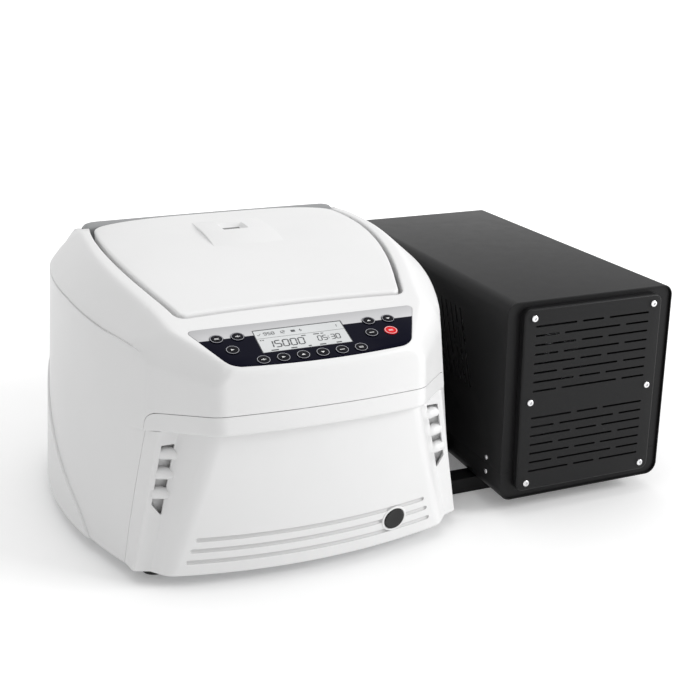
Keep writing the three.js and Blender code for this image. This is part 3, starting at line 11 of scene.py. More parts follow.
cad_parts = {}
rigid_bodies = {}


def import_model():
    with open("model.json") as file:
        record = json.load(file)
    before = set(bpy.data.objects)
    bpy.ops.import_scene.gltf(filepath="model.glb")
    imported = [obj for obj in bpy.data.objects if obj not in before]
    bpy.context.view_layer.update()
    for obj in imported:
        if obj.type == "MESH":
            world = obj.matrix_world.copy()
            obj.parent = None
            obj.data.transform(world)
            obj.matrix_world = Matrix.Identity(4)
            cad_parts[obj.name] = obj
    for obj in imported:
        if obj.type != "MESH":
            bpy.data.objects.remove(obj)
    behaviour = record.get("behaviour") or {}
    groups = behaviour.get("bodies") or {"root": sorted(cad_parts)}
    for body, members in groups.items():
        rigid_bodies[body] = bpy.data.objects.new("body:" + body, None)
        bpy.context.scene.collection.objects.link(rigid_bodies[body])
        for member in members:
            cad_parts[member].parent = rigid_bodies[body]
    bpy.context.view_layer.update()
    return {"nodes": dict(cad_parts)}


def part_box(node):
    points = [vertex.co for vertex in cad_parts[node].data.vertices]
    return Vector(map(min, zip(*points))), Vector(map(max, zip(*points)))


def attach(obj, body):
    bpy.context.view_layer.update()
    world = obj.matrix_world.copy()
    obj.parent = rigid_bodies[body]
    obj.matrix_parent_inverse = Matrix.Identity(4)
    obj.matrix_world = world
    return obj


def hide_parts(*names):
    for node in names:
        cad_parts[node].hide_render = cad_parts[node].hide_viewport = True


for leftover in list(bpy.data.objects):
    bpy.data.objects.remove(leftover)

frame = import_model()
cad = frame["nodes"]

MM = 0.001
AXIS_Y = 190.0  # depth of the rotor's axis in the unit's own millimetres
motor_low, motor_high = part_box("motor")
ORIGIN_X = (motor_low.x + motor_high.x) / 2 / MM
ORIGIN_Y = (motor_low.y + motor_high.y) / 2 / MM - AXIS_Y


def place(points):
    """Points in the unit's millimetres, moved to the model's frame in metres."""
    points = np.asarray(points, float).reshape(-1, 3)
    return (points + np.array([ORIGIN_X, ORIGIN_Y, 0.0])) * MM


# Camera at the photograph's angle
camera_data = bpy.data.cameras.new("camera")
camera = bpy.data.objects.new("camera", camera_data)
bpy.context.scene.collection.objects.link(camera)
PHOTO_WIDTH, FOCAL_PIXELS, SENSOR_WIDTH = 700, 1124.4, 36.0
camera_data.sensor_width = SENSOR_WIDTH
camera_data.lens = FOCAL_PIXELS / PHOTO_WIDTH * SENSOR_WIDTH
camera_data.clip_start = 0.05
camera_data.clip_end = 200.0
camera_right = Vector((0.9283, -0.3719, 0.0)).normalized()
camera_forward = Vector((0.3515, 0.8773, -0.3269)).normalized()
camera_up = camera_right.cross(camera_forward).normalized()
camera_place = (-0.4966, -1.2867, 0.6493)
camera.matrix_world = Matrix((
    *zip(camera_right, camera_up, -camera_forward, camera_place),
    (0, 0, 0, 1),
))
bpy.context.scene.camera = camera


# Materials

def shader(name, color, roughness, **inputs):
    """A material with its main shader; returns the material, its node tree and the shader."""
    material = bpy.data.materials.new(name)
    material.use_nodes = True
    tree = material.node_tree
    bsdf = tree.nodes["Principled BSDF"]
    bsdf.inputs["Base Color"].default_value = (*color, 1)
    bsdf.inputs["Roughness"].default_value = roughness
    for key, value in inputs.items():
        bsdf.inputs[key.replace("_", " ")].default_value = value
    return material, tree, bsdf


def node(tree, kind, **settings):
    """A node of a kind, its properties or the values of its inputs set by name."""
    made = tree.nodes.new("ShaderNode" + kind)
    for key, value in settings.items():
        if hasattr(made, key):
            setattr(made, key, value)
        else:
            made.inputs[key.replace("_", " ")].default_value = value
    return made


def math_node(tree, operation, first, second):
    made = node(tree, "Math", operation=operation)
    tree.links.new(first, made.inputs[0])
    tree.links.new(second, made.inputs[1])
    return made.outputs["Value"]


def seen_rays(tree):
    """1 for rays from the camera, off something glossy or through glass, else 0."""
    path = node(tree, "LightPath").outputs
    straight = math_node(tree, "MAXIMUM", path["Is Camera Ray"], path["Is Glossy Ray"])
    return math_node(tree, "MAXIMUM", straight, path["Is Transmission Ray"])


def object_point(tree):
    return node(tree, "TexCoord").outputs["Object"]


def noise(tree, scale, detail=2.0, roughness=0.5, stretch=None):
    point = object_point(tree)
    if stretch:
        mapping = node(tree, "Mapping", Scale=stretch)
        tree.links.new(point, mapping.inputs["Vector"])
        point = mapping.outputs["Vector"]
    made = node(tree, "TexNoise", Scale=scale, Detail=detail, Roughness=roughness)
    tree.links.new(point, made.inputs["Vector"])
    return made.outputs["Fac"]


def ramp(tree, source, stops):
    made = node(tree, "ValToRGB")
    elements = made.color_ramp.elements
    while len(elements) < len(stops):
        elements.new(0.5)
    for element, (position, color) in zip(elements, stops):
        element.position = position
        element.color = (*color, 1)
    tree.links.new(source, made.inputs["Fac"])
    return made.outputs["Color"]


def map_range(tree, source, from_low, from_high, low, high):
    made = node(tree, "MapRange", From_Min=from_low, From_Max=from_high, To_Min=low, To_Max=high)
    tree.links.new(source, made.inputs["Value"])
    return made.outputs["Result"]


def grade(tree, source, low, high):
    return map_range(tree, source, 0, 1, low, high)


def bump(tree, bsdf, source, distance, strength):
    made = node(tree, "Bump", Distance=distance, Strength=strength)
    tree.links.new(source, made.inputs["Height"])
    tree.links.new(made.outputs["Normal"], bsdf.inputs["Normal"])


def moulded(name, color, roughness, grain=0.00002, shift=0.03, scale=2200.0, **inputs):
    """Moulded plastic: fine grain, slow changes of tone and of polish."""
    material, tree, bsdf = shader(name, color, roughness, **inputs)
    slow = noise(tree, 9.0, 3.0)
    low = tuple(c * (1 - shift) for c in color)
    high = tuple(min(c * (1 + shift), 1) for c in color)
    tree.links.new(ramp(tree, slow, [(0.3, low), (0.7, high)]), bsdf.inputs["Base Color"])
    polish = noise(tree, 38.0, 4.0)
    tree.links.new(grade(tree, polish, roughness * 0.88, roughness * 1.14), bsdf.inputs["Roughness"])
    bump(tree, bsdf, noise(tree, scale, 2.0), grain, 0.5)
    return material


def powder_coat(name, color, roughness, **inputs):
    material, tree, bsdf = shader(name, color, roughness, **inputs)
    speckle = noise(tree, 1500.0, 2.0)
    low = tuple(c * 0.85 for c in color)
    high = tuple(c * 1.18 for c in color)
    tree.links.new(ramp(tree, speckle, [(0.35, low), (0.65, high)]), bsdf.inputs["Base Color"])
    polish = noise(tree, 60.0, 3.0)
    tree.links.new(grade(tree, polish, roughness * 0.9, roughness * 1.1), bsdf.inputs["Roughness"])
    bump(tree, bsdf, noise(tree, 1100.0, 3.0), 0.00006, 0.5)
    return material


def metal(name, color, roughness, stretch=(1, 1, 1), scale=300.0, depth=0.00001):
    material, tree, bsdf = shader(name, color, roughness, Metallic=1.0)
    grain = noise(tree, scale, 3.0, 0.6, stretch)
    tree.links.new(grade(tree, grain, roughness * 0.7, roughness * 1.35), bsdf.inputs["Roughness"])
    low = tuple(c * 0.9 for c in color)
    tree.links.new(ramp(tree, grain, [(0.3, low), (0.7, color)]), bsdf.inputs["Base Color"])
    bump(tree, bsdf, grain, depth, 0.4)
    return material


WHITE = moulded("white_plastic", (0.80, 0.80, 0.80), 0.36, 0.00001, 0.012)
LID_WHITE = moulded("lid_white_plastic", (0.80, 0.80, 0.80), 0.38, 0.00002, 0.012)
# Darker, rougher white for the faces inside the front's grooves: its darker tone is painted shade in the
# grooves
GROOVE_PAINTED_SHADE = moulded("groove_painted_shade_plastic", (0.66, 0.66, 0.66), 0.6, 0.00001, 0.012)
GREY = moulded("grey_plastic", (0.27, 0.275, 0.28), 0.42)
DARK = moulded("dark_plastic", (0.014, 0.014, 0.016), 0.42, shift=0.15)
BLACK_KEY = moulded("key_black", (0.006, 0.006, 0.009), 0.35, shift=0.15, Specular_IOR_Level=0.04)
RED_KEY = moulded("key_red", (0.7, 0.012, 0.016), 0.35, shift=0.05, Specular_IOR_Level=0.08)
WHITE_INK = moulded("white_ink", (0.82, 0.82, 0.82), 0.5, shift=0.02)
GREY_INK = moulded("grey_ink", (0.42, 0.42, 0.46), 0.5, shift=0.04)
LCD_INK = moulded("liquid_crystal_dark", (0.035, 0.038, 0.042), 0.4, shift=0.1)
RUBBER = moulded("rubber", (0.012, 0.012, 0.012), 0.75, 0.00006, 0.2, 900.0)
FOAM = moulded("foam", (0.62, 0.54, 0.36), 0.9, 0.0004, 0.12, 420.0)
BOARD = moulded("circuit_board", (0.012, 0.13, 0.045), 0.4, 0.00002, 0.15)
BLACK_PAINT = powder_coat("black_powder_coat", (0.011, 0.011, 0.0115), 0.38, Specular_IOR_Level=0.16)
STEEL = metal("brushed_steel", (0.62, 0.63, 0.64), 0.26, (1, 1, 30))
SCREW = metal("screw_steel", (0.78, 0.78, 0.79), 0.2)
ALUMINIUM = metal("satin_aluminium", (0.66, 0.67, 0.68), 0.36)
BLACK_ALUMINIUM = metal("black_aluminium", (0.05, 0.05, 0.055), 0.34)
COPPER = metal("copper", (0.8, 0.42, 0.26), 0.3)


def panel_film():
    """Dark blue film with a pale band along its upper edge."""
    material, tree, bsdf = shader("panel_film", (0.0, 0.0, 0.006), 0.3, Specular_IOR_Level=0.03)
    split = node(tree, "SeparateXYZ")
    tree.links.new(object_point(tree), split.inputs["Vector"])
    front, band, back = -74.0, -23.0, -3.0
    depth = map_range(tree, split.outputs["Y"], (front + ORIGIN_Y) * MM, (back + ORIGIN_Y) * MM, 0, 1)
    edge = (band - front) / (back - front)
    navy = (0.0006, 0.0007, 0.0075)
    stops = [(0.0, navy), (edge - 0.006, navy), (edge, (0.62, 0.62, 0.63)), (1.0, (0.50, 0.50, 0.51))]
    tree.links.new(ramp(tree, depth, stops), bsdf.inputs["Base Color"])
    tree.links.new(grade(tree, noise(tree, 50.0, 3.0), 0.2, 0.3), bsdf.inputs["Roughness"])
    bump(tree, bsdf, noise(tree, 1800.0, 2.0), 0.000008, 0.4)
    return material


def display_film():
    """Pale liquid crystal with a slow change of tone, under a clear cover."""
    material, tree, bsdf = shader("display_film", (0.6, 0.62, 0.62), 0.12)
    tone = noise(tree, 14.0, 2.0)
    stops = [(0.2, (0.56, 0.575, 0.58)), (0.8, (0.66, 0.675, 0.68))]
    tree.links.new(ramp(tree, tone, stops), bsdf.inputs["Base Color"])
    bump(tree, bsdf, noise(tree, 2600.0, 1.0), 0.000006, 0.3)
    return material


def dark_glass():
    material, tree, bsdf = shader("sight_glass", (0.03, 0.032, 0.034), 0.06)
    tone = noise(tree, 120.0, 2.0)
    stops = [(0.3, (0.022, 0.024, 0.026)), (0.7, (0.04, 0.042, 0.045))]
    tree.links.new(ramp(tree, tone, stops), bsdf.inputs["Base Color"])
    return material


PANEL = panel_film()
DISPLAY = display_film()
GLASS = dark_glass()


# Mesh helpers

def new_piece(name, vertices, faces, material=None, scaled=True):
    mesh = bpy.data.meshes.new(name)
    points = place(vertices) if scaled else np.asarray(vertices, float)
    mesh.from_pydata([tuple(p) for p in points], [], [tuple(f) for f in faces])
    mesh.update()
    made = bpy.data.objects.new(name, mesh)
    bpy.context.scene.collection.objects.link(made)
    if material:
        mesh.materials.append(material)
    return made


SHARP_ANGLE = math.radians(28.0)


def smooth(piece):
    mesh = piece.data
    mesh.polygons.foreach_set("use_smooth", [True] * len(mesh.polygons))
    mesh.set_sharp_from_angle(angle=SHARP_ANGLE)
    mesh.update()


def loft(rings, closed_ends=True):
    """Vertices and faces of rings of equal counts, each closed, capped at both ends."""
    rings = np.asarray(rings, float)
    levels, count = rings.shape[:2]
    vertices = rings.reshape(-1, 3)
    faces = []
    for level in range(levels - 1):
        base = level * count
        for here in range(count):
            after = (here + 1) % count
            faces.append((base + here, base + after, base + count + after, base + count + here))
    if closed_ends:
        faces.append(tuple(range(count - 1, -1, -1)))
        last = (levels - 1) * count
        faces.append(tuple(range(last, last + count)))
    return vertices, faces


def tidy_mesh(piece, distance=2e-6):
    work = bmesh.new()
    work.from_mesh(piece.data)
    bmesh.ops.remove_doubles(work, verts=work.verts, dist=distance)
    bmesh.ops.dissolve_degenerate(work, edges=work.edges, dist=distance)
    bmesh.ops.recalc_face_normals(work, faces=work.faces)
    work.to_mesh(piece.data)
    work.free()
    piece.data.update()


def combine(base, tools, operation="DIFFERENCE"):
    """Applies each tool to the base, and removes the tools."""
    for tool in tools:
        step = base.modifiers.new("step", "BOOLEAN")
        step.operation = operation
        step.solver = "MANIFOLD"
        step.object = tool
        evaluated = base.evaluated_get(bpy.context.evaluated_depsgraph_get())
        result = bpy.data.meshes.new_from_object(evaluated)
        base.modifiers.clear()
        if not result.polygons:
            raise RuntimeError(f"{operation} of {base.name} by {tool.name} left nothing")
        base.data = result
    for tool in tools:
        bpy.data.objects.remove(tool)
    return base


def copy_of(piece, name):
    made = bpy.data.objects.new(name, piece.data.copy())
    bpy.context.scene.collection.objects.link(made)
    return made


def arc_corner(before, here, after, radius, steps):
    """Points of a rounded corner of an outline."""
    here = np.array(here, float)
    to_before = np.array(before, float) - here
    to_after = np.array(after, float) - here
    room = min(np.linalg.norm(to_before), np.linalg.norm(to_after)) * 0.98
    to_before /= np.linalg.norm(to_before)
    to_after /= np.linalg.norm(to_after)
    half = math.acos(np.clip(to_before @ to_after, -1, 1)) / 2
    back = min(radius / math.tan(half), room)
    start = here + to_before * back
    toward = to_before + to_after
    centre = here + toward / np.linalg.norm(toward) * back / math.cos(half)
    first = start - centre
    last = here + to_after * back - centre
    a = math.atan2(first[1], first[0])
    turn = math.atan2(last[1], last[0]) - a
    turn = (turn + math.pi) % (2 * math.pi) - math.pi
    reach = np.linalg.norm(first)
    angles = a + turn * np.arange(steps + 1) / steps
    return [centre + reach * np.array([math.cos(t), math.sin(t)]) for t in angles]


def outline(corners, steps=8):
    """Closed outline with rounded corners, from (x, y, radius, steps) corners."""
    points = []
    for index, corner in enumerate(corners):
        radius = corner[2] if len(corner) > 2 else 0
        if radius == 0:
            points.append(np.array(corner[:2], float))
            continue
        count = corner[3] if len(corner) > 3 else steps
        before = corners[index - 1][:2]
        after = corners[(index + 1) % len(corners)][:2]
        points.extend(arc_corner(before, corner[:2], after, radius, count))
    return np.array(points)


def rounded_box(left, right, bottom, top, low_radius, high_radius, steps=10):
    return outline([
        (left, bottom, low_radius, steps), (right, bottom, low_radius, steps),
        (right, top, high_radius, steps), (left, top, high_radius, steps),
    ])


def mirrored(half):
    """A whole outline from its right half."""
    left = [(-c[0], *c[1:]) for c in half if c[0] > 0]
    return list(half) + left[::-1]


def inset(points, distance):
    """Moves an anticlockwise outline inwards by a distance."""
    arrive = points - np.roll(points, 1, axis=0)
    leave = np.roll(points, -1, axis=0) - points
    arrive /= np.linalg.norm(arrive, axis=1)[:, None]
    leave /= np.linalg.norm(leave, axis=1)[:, None]
    first = np.column_stack([-arrive[:, 1], arrive[:, 0]])
    second = np.column_stack([-leave[:, 1], leave[:, 0]])
    dot = np.clip((first * second).sum(axis=1), -0.9, 1)
    return points + (first + second) / (1 + dot)[:, None] * distance


def resampled(points, spacing):
    """A closed outline with extra points where its edges are longer than a spacing."""
    made = []
    for index, here in enumerate(points):
        after = points[(index + 1) % len(points)]
        pieces = max(1, int(math.ceil(np.linalg.norm(after - here) / spacing)))
        made.extend(here + (after - here) * k / pieces for k in range(pieces))
    return np.array(made)


def with_height(points, heights):
    return np.column_stack([points, np.broadcast_to(heights, len(points))])


def at_depth(points, y):
    """Places at one depth, from an outline of width and height."""
    return np.column_stack([points[:, 0], np.broadcast_to(y, len(points)), points[:, 1]])


def at_width(points, x):
    """Places at one width, from an outline of depth and height."""
    return np.column_stack([np.broadcast_to(x, len(points)), points])


def circle(radius, sides, x=0.0, y=0.0):
    turn = np.linspace(0, 2 * math.pi, sides, endpoint=False)
    return np.column_stack([radius * np.cos(turn) + x, radius * np.sin(turn) + y])


def form(name, rows):
    """A closed solid through rings of places."""
    made = new_piece(name, *loft(rows))
    tidy_mesh(made)
    return made


def prism(points, low, high, name="tool"):
    return new_piece(name, *loft([with_height(points, low), with_height(points, high)]))


def across(points, x0, x1, name="tool"):
    """Solid that spans the width, from an outline of depth and height."""
    return form(name, [at_width(points, x) for x in (x0, x1)])


def along_y(points, y0, y1, name="tool"):
    """Solid that runs back from an outline of width and height."""
    return form(name, [at_depth(points, y) for y in (y0, y1)])


def box_piece(x0, x1, y0, y1, z0, z1):
    corners = np.array([(x0, y0), (x1, y0), (x1, y1), (x0, y1)], float)
    return prism(corners, z0, z1)


def joined(solids):
    """Vertices and faces of several solids, as one mesh."""
    vertices, faces = [], []
    for points, polygons in solids:
        faces.extend(tuple(i + len(vertices) for i in face) for face in polygons)
        vertices.extend(points)
    return np.array(vertices), faces


def dress(piece, material, body, replaced=None):
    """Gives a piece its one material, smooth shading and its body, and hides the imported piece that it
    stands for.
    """
    piece.data.materials.clear()
    piece.data.materials.append(material)
    smooth(piece)
    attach(piece, body)
    if replaced:
        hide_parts(replaced)


def smoothstep(value, low, high):
    share = np.clip((value - low) / (high - low), 0, 1)
    return share * share * (3 - 2 * share)


# The unit's form, in its own millimetres

GAP = 0.3  # between pieces that touch
BOTTOM = 15.5
BOX_LEFT, BOX_RIGHT, BOX_DEPTH, BOX_BOTTOM, BOX_TOP = 254.0, 484.0, 474.6, 20.0, 274.1
BAR_DEPTHS, BAR_WIDE = (75, 400), 28
LINE_DEPTHS, LINE_Z, LINE_RADIUS = (148, 168), 34, 6
ROD_Y, ROD_Z, ROD_RADIUS = 361, 319, 3
SIDE_REACH, SIDE_LEAN, SIDE_ARC, SIDE_MIDDLE = 249.5, 0.0845, 511.0, 252.0
SIDE_START, REAR_Y, REAR_CORNER = 30.0, 440.0, 70.0
BROW_Y, BROW_HALF, BROW_LIP, BROW_TILT = -80.7, 114.6, 194.5, 0.15
BROW_FLANK_Y, FRONT_ARC = 4.0, 564.0
FACE_Y, FACE_LEAN, FACE_FOOT = -40.8, 0.155, 164.0
# The pillar's two edges, each at the bottom and at the brow's lip
PILLAR_INNER = np.array([(180, 2), (139.8, -11)], float)
PILLAR_OUTER = np.array([(197, 9), (162, -11.7)], float)
WALL = 3.5
LID_Y, LID_Z, PANEL_SLOPE = 25.7, 297.0, 0.31  # the roof's edge over the control slope
PEAK_Y, ROOF_RADIUS = 290.0, 1165.0
PEAK_Z = LID_Z + (PEAK_Y - LID_Y) ** 2 / (2 * ROOF_RADIUS)
TAIL_Y, TAIL_Z, TAIL_SLOPE = 374.0, 320.4, 0.35
# Height over the middle that the falling shoulder would have, at eleven depths
SHOULDER_DEPTHS = (-20, 25.7, 57, 82, 110, 152, 187, 242, 320, 374, 440)
SHOULDER_HEIGHTS = (409, 429.7, 444.5, 454.4, 464.2, 478.2, 486.3, 490.9, 488.7, 487.2, 485)
SHOULDER = np.polynomial.Polynomial.fit(SHOULDER_DEPTHS, SHOULDER_HEIGHTS, 5)


def side_x(y, z):
    return SIDE_REACH - SIDE_LEAN * (z - BOTTOM) - (y - SIDE_MIDDLE) ** 2 / (2 * SIDE_ARC)


def face_y(x, z):
    return FACE_Y + x * x / (2 * FRONT_ARC) - FACE_LEAN * (z - BOTTOM)


SIDE_DEPTHS = [SIDE_START + (REAR_Y - SIDE_START) * s for s in np.linspace(0, 0.8, 40)]
ARC_STEPS = 22
FLANK_STEPS = 26
PILLAR_STEPS = 12


def side_corners(z):
    wall = [(side_x(y, z), y) for y in SIDE_DEPTHS]
    return wall + [(side_x(REAR_Y, z), REAR_Y, REAR_CORNER, 16)]


def spread(start, end, count):
    """Points strictly between two places."""
    start, end = np.array(start, float), np.array(end, float)
    return [tuple(start + (end - start) * k / (count + 1)) for k in range(1, count + 1)]


def full_outline(front_half, z):
    """Closed outline from the front half's explicit points and the side's corners."""
    sides = side_corners(z)
    corner = arc_corner(sides[-2], sides[-1][:2], (-sides[-1][0], REAR_Y), REAR_CORNER, 16)
    back = [corner[-1] * [1 - share, 1] for share in np.linspace(0, 1, 12)[1:]]
    right = np.array([np.array(p, float) for p in [*front_half, *sides[:-1], *corner, *back]])
    left = right[1:-1][::-1] * [-1, 1]
    return np.vstack([right, left])


def arc_before(arc, corner):
    """The arc's points before a rounded corner, always the same number of them."""
    kept = [p for p in arc[:-1] if p[0] < corner[0][0] - 1]
    while len(kept) < ARC_STEPS:
        kept.append(tuple((np.array(kept[-1]) + corner[0]) / 2))
    return kept


def lower_plan(z):
    """Outline under the brow, with the face, the recessed flank and the pillar."""
    rise = (z - BOTTOM) / (BROW_LIP - BOTTOM)
    face_half = FACE_FOOT + (BROW_HALF - FACE_FOOT) * rise
    inner, outer = (lower + (upper - lower) * rise for lower, upper in (PILLAR_INNER, PILLAR_OUTER))
    arc = [(face_half * s, face_y(face_half * s, z)) for s in np.linspace(0, 1, ARC_STEPS + 1)]
    face_corner = arc_corner(arc[-3], arc[-1], inner, 28, 10)
    kept = arc_before(arc, face_corner)
    inner_corner = arc_corner(face_corner[-1], inner, outer, 3, 4)
    side0 = side_corners(z)[0]
    outer_corner = arc_corner(inner_corner[-1], outer, side0, 4.5, 6)
    front = kept + face_corner + spread(face_corner[-1], inner_corner[0], FLANK_STEPS)
    front += inner_corner + spread(inner_corner[-1], outer_corner[0], PILLAR_STEPS) + outer_corner
    front += spread(outer_corner[-1], side0, 8)
    return full_outline(front, z)


def upper_plan(z):
    """Outline of the brow and what is over it."""
    widths = BROW_HALF * np.linspace(0, 1, ARC_STEPS + 1)
    arc = [(x, BROW_Y + x**2 / (2 * FRONT_ARC)) for x in widths]
    flank = (side_x(BROW_FLANK_Y, z), BROW_FLANK_Y)
    corner = arc_corner(arc[-3], arc[-1], flank, 36, 10)
    kept = arc_before(arc, corner)
    side0 = side_corners(z)[0]
    flank_corner = arc_corner(corner[-1], flank, side0, 16, 6)
    between = spread(corner[-1], flank_corner[0], FLANK_STEPS + 5 + PILLAR_STEPS)
    front = kept + corner + between + flank_corner + spread(flank_corner[-1], side0, 8)
    return full_outline(front, z)


PLAN_TOP, PLAN_STEPS = 340, 17
PLAN_LEVELS = np.linspace(0, PLAN_TOP, PLAN_STEPS + 1)
LOWER = np.array([lower_plan(z) for z in PLAN_LEVELS])
UPPER = np.array([upper_plan(z) for z in PLAN_LEVELS])


def plan_at(plans, heights, distance):
    """Outline points, each at its own height, moved inwards by a distance."""
    moved = np.array([inset(plan, distance) for plan in plans]) if distance else plans
    level = np.clip(np.asarray(heights) / PLAN_TOP * PLAN_STEPS, 0, PLAN_STEPS - 0.001)
    low = level.astype(int)
    share = (level - low)[:, None]
    index = np.arange(plans.shape[1])
    return moved[low, index] * (1 - share) + moved[low + 1, index] * share


def soft_min(values, softness):
    values = np.array(values)
    least = values.min(axis=0)
    return least - softness * np.log(np.exp(-(values - least) / softness).sum(axis=0))


def lid_plane(y):
    """Height of the roof's arc from front to back."""
    return PEAK_Z - (y - PEAK_Y) ** 2 / (2 * ROOF_RADIUS)


def roof(x, y, softness=1.6):
    """Height of the roof: control slope, arc, tail, shoulder, and a facet at each front and rear corner."""
    x = np.abs(x)
    side = SHOULDER(np.clip(y, -20, 440)) + 0.45 * np.minimum(y + 20, 0)
    return soft_min([
        LID_Z + PANEL_SLOPE * (y - LID_Y),
        lid_plane(y),
        TAIL_Z - TAIL_SLOPE * (y - TAIL_Y),
        side - 0.9 * x,
        465.3 - 1.239 * x + 1.05 * y,
        733 - 1.25 * x - 0.5 * y,
    ], softness)


def bezier(start, control, end, steps):
    rows = []
    for k in range(1, steps + 1):
        t = k / (steps + 1)
        rows.append((1 - t) ** 2 * start + 2 * t * (1 - t) * control + t * t * end)
    return rows


def unit_rows(wall, fine):
    """Rings of the unit's outside, or of its inside when a wall is given."""
    rows = []
    bottom = BOTTOM if wall == 0 else BOTTOM - 5
    steps = 26 if fine else 6
    columns = LOWER.shape[1]

    def lip(plans):
        """The brow's lip on a set of outlines, lower towards the back."""
        level = BROW_LIP + wall
        heights = np.full(columns, level)
        for _ in range(4):
            points = plan_at(plans, heights, wall)
            heights = level - BROW_TILT * (points[:, 1] - BROW_Y)
        return points, heights

    _, lip_z = lip(LOWER)
    for k in range(steps + 1):
        heights = bottom + (lip_z - bottom) * k / steps
        rows.append(with_height(plan_at(LOWER, heights, wall), heights))
    under = rows[-1]
    edge = np.column_stack(lip(UPPER))
    run = np.linalg.norm(edge[:, :2] - under[:, :2], axis=1)[:, None]
    back = np.clip(3.2 / np.maximum(run, 1e-6), 0, 1)
    start = edge + (under - edge) * back
    rise = edge.copy()
    rise[:, 2] += 3.6
    rise[:, :2] = plan_at(UPPER, rise[:, 2], wall)
    rows.append(start)
    if fine:
        rows.extend(bezier(start, edge, rise, 5))
    rows.append(rise)
    top_z = np.full(columns, 270.0)
    for _ in range(12):
        top = plan_at(UPPER, top_z, wall)
        top_z = roof(top[:, 0], top[:, 1]) - wall
    top = np.column_stack([top, top_z])
    centre = np.array([0.0, AXIS_Y])
    toward = centre - top[:, :2]
    reach = np.linalg.norm(toward, axis=1)
    toward /= reach[:, None]
    radius = np.where(top[:, 1] < 30, 9.0, 5.0) if fine else np.full(columns, 3.0)
    low = top.copy()
    low[:, 2] -= radius
    low[:, :2] = plan_at(UPPER, low[:, 2], wall)
    steps = 20 if fine else 5
    for k in range(1, steps + 1):
        heights = rise[:, 2] + (low[:, 2] - rise[:, 2]) * k / steps
        rows.append(with_height(plan_at(UPPER, heights, wall), heights))
    high = top.copy()
    high[:, :2] += toward * radius[:, None]
    high[:, 2] = roof(high[:, 0], high[:, 1]) - wall
    if fine:
        rows.extend(bezier(rows[-1], top, high, 6))
    rows.append(high)
    coarse_shares = np.linspace(0, 0.97, 14)[1:]
    fine_shares = [*np.linspace(0, 0.55, 52)[1:], 0.7, 0.85, 0.97]
    for share in fine_shares if fine else coarse_shares:
        row = high.copy()
        row[:, :2] += (centre - high[:, :2]) * share
        row[:, 2] = roof(row[:, 0], row[:, 1]) - wall
        rows.append(row)
    return rows


def posts(places, radius, low, high, sides, move=np.asarray):
    """Round posts as one mesh, each at its own (x, y)."""
    rings = [circle(radius, sides, x, y) for x, y in places]
    vertices, faces = joined(loft([with_height(ring, low), with_height(ring, high)]) for ring in rings)
    return new_piece("tool", move(vertices), faces)


def turned(profile, sides=64):
    """Vertices and faces of a closed profile of (radius, height) turned round Z."""
    return loft([with_height(circle(max(radius, 1e-3), sides), height) for radius, height in profile])


def arc_points(x, y, wide, tall, angles):
    """Points at some angles of an ellipse about a place."""
    return [(x + wide * math.cos(t), y + tall * math.sin(t)) for t in angles]


def rounded_edge(radius, high, edge, steps):
    """Upper end of a disc's profile, with a rounded edge."""
    angles = np.linspace(0, math.pi / 2, steps + 1)
    return arc_points(radius - edge, high - edge, edge, edge, angles) + [(0, high)]


TILT = math.atan(PANEL_SLOPE)


def on_slope(points):
    """Places drawn flat on the control slope: X across, Y up the slope, Z out of it."""
    points = np.asarray(points, float).reshape(-1, 3)
    y = points[:, 1] * math.cos(TILT) - points[:, 2] * math.sin(TILT)
    z = points[:, 1] * math.sin(TILT) + points[:, 2] * math.cos(TILT)
    return np.column_stack([points[:, 0], y + LID_Y, z + LID_Z])


def slope_piece(name, made, move=(0, 0, 0)):
    """A piece from vertices and faces that are drawn flat on the control slope."""
    vertices, faces = made
    return new_piece(name, on_slope(np.asarray(vertices) + np.array(move)), faces)


# Seams, as outlines of depth and height

REGION_LOW, REGION_HALF = -5, 400  # how far the cutting regions run past the unit
SEAM_Z, SEAM_FALL = 216.5, 0.17  # the upper seam at the brow's front, and its fall to the back
FLANK_SEAM_Y, FLANK_SEAM_LEAN = 34.5, 0.152  # the side seam at the bottom, and its lean to the front


def front_region(gap):
    """What the front moulding takes of the unit."""
    def top(y):
        return SEAM_Z - SEAM_FALL * (y - BROW_Y)

    corner_y = (FLANK_SEAM_Y - FLANK_SEAM_LEAN * top(0)) / (1 - FLANK_SEAM_LEAN * SEAM_FALL)
    foot_y = FLANK_SEAM_Y - FLANK_SEAM_LEAN * REGION_LOW
    corners = [
        (-101, REGION_LOW), (foot_y, REGION_LOW), (corner_y, top(corner_y), 16, 12), (-101, top(-101)),
    ]
    return across(inset(outline(corners), -gap), -REGION_HALF, REGION_HALF, "front_region")


# The rear moulding's curved seam, as shares of its run and of its rise
CREASE_SHARES = [
    (0, 0), (0.049, 0.083), (0.115, 0.189), (0.21, 0.289), (0.333, 0.406), (0.609, 0.667), (1, 1),
]
CREASE_FOOT_Y, CREASE_TOP_Z = 92, 185


def curve_through(points, steps=8):
    """A smooth curve through points."""
    points = np.array([2 * np.array(points[0]) - points[1], *points, 2 * np.array(points[-1]) - points[-2]])
    made = []
    for a, b, c, d in zip(points, points[1:], points[2:], points[3:]):
        square_term, cubic_term = 2 * a - 5 * b + 4 * c - d, 3 * b - a - 3 * c + d
        for t in np.arange(steps) / steps:
            made.append(0.5 * (2 * b + (c - a) * t + square_term * t**2 + cubic_term * t**3))
    return np.array(made + [points[-2]])


def rear_region(gap):
    """What the rear moulding takes of the unit."""
    crease = curve_through([
        (CREASE_FOOT_Y + (REAR_Y - CREASE_FOOT_Y) * run, 5 + (CREASE_TOP_Z - 5) * rise)
        for run, rise in CREASE_SHARES
    ])
    back = REAR_Y + 20
    corners = [(CREASE_FOOT_Y, REGION_LOW), (back, REGION_LOW), (back, CREASE_TOP_Z)]
    corners += [tuple(p) for p in crease[::-1]]
    return across(inset(outline(corners), -gap), -REGION_HALF, REGION_HALF, "rear_region")


# Lid opening and the tray that runs on behind it

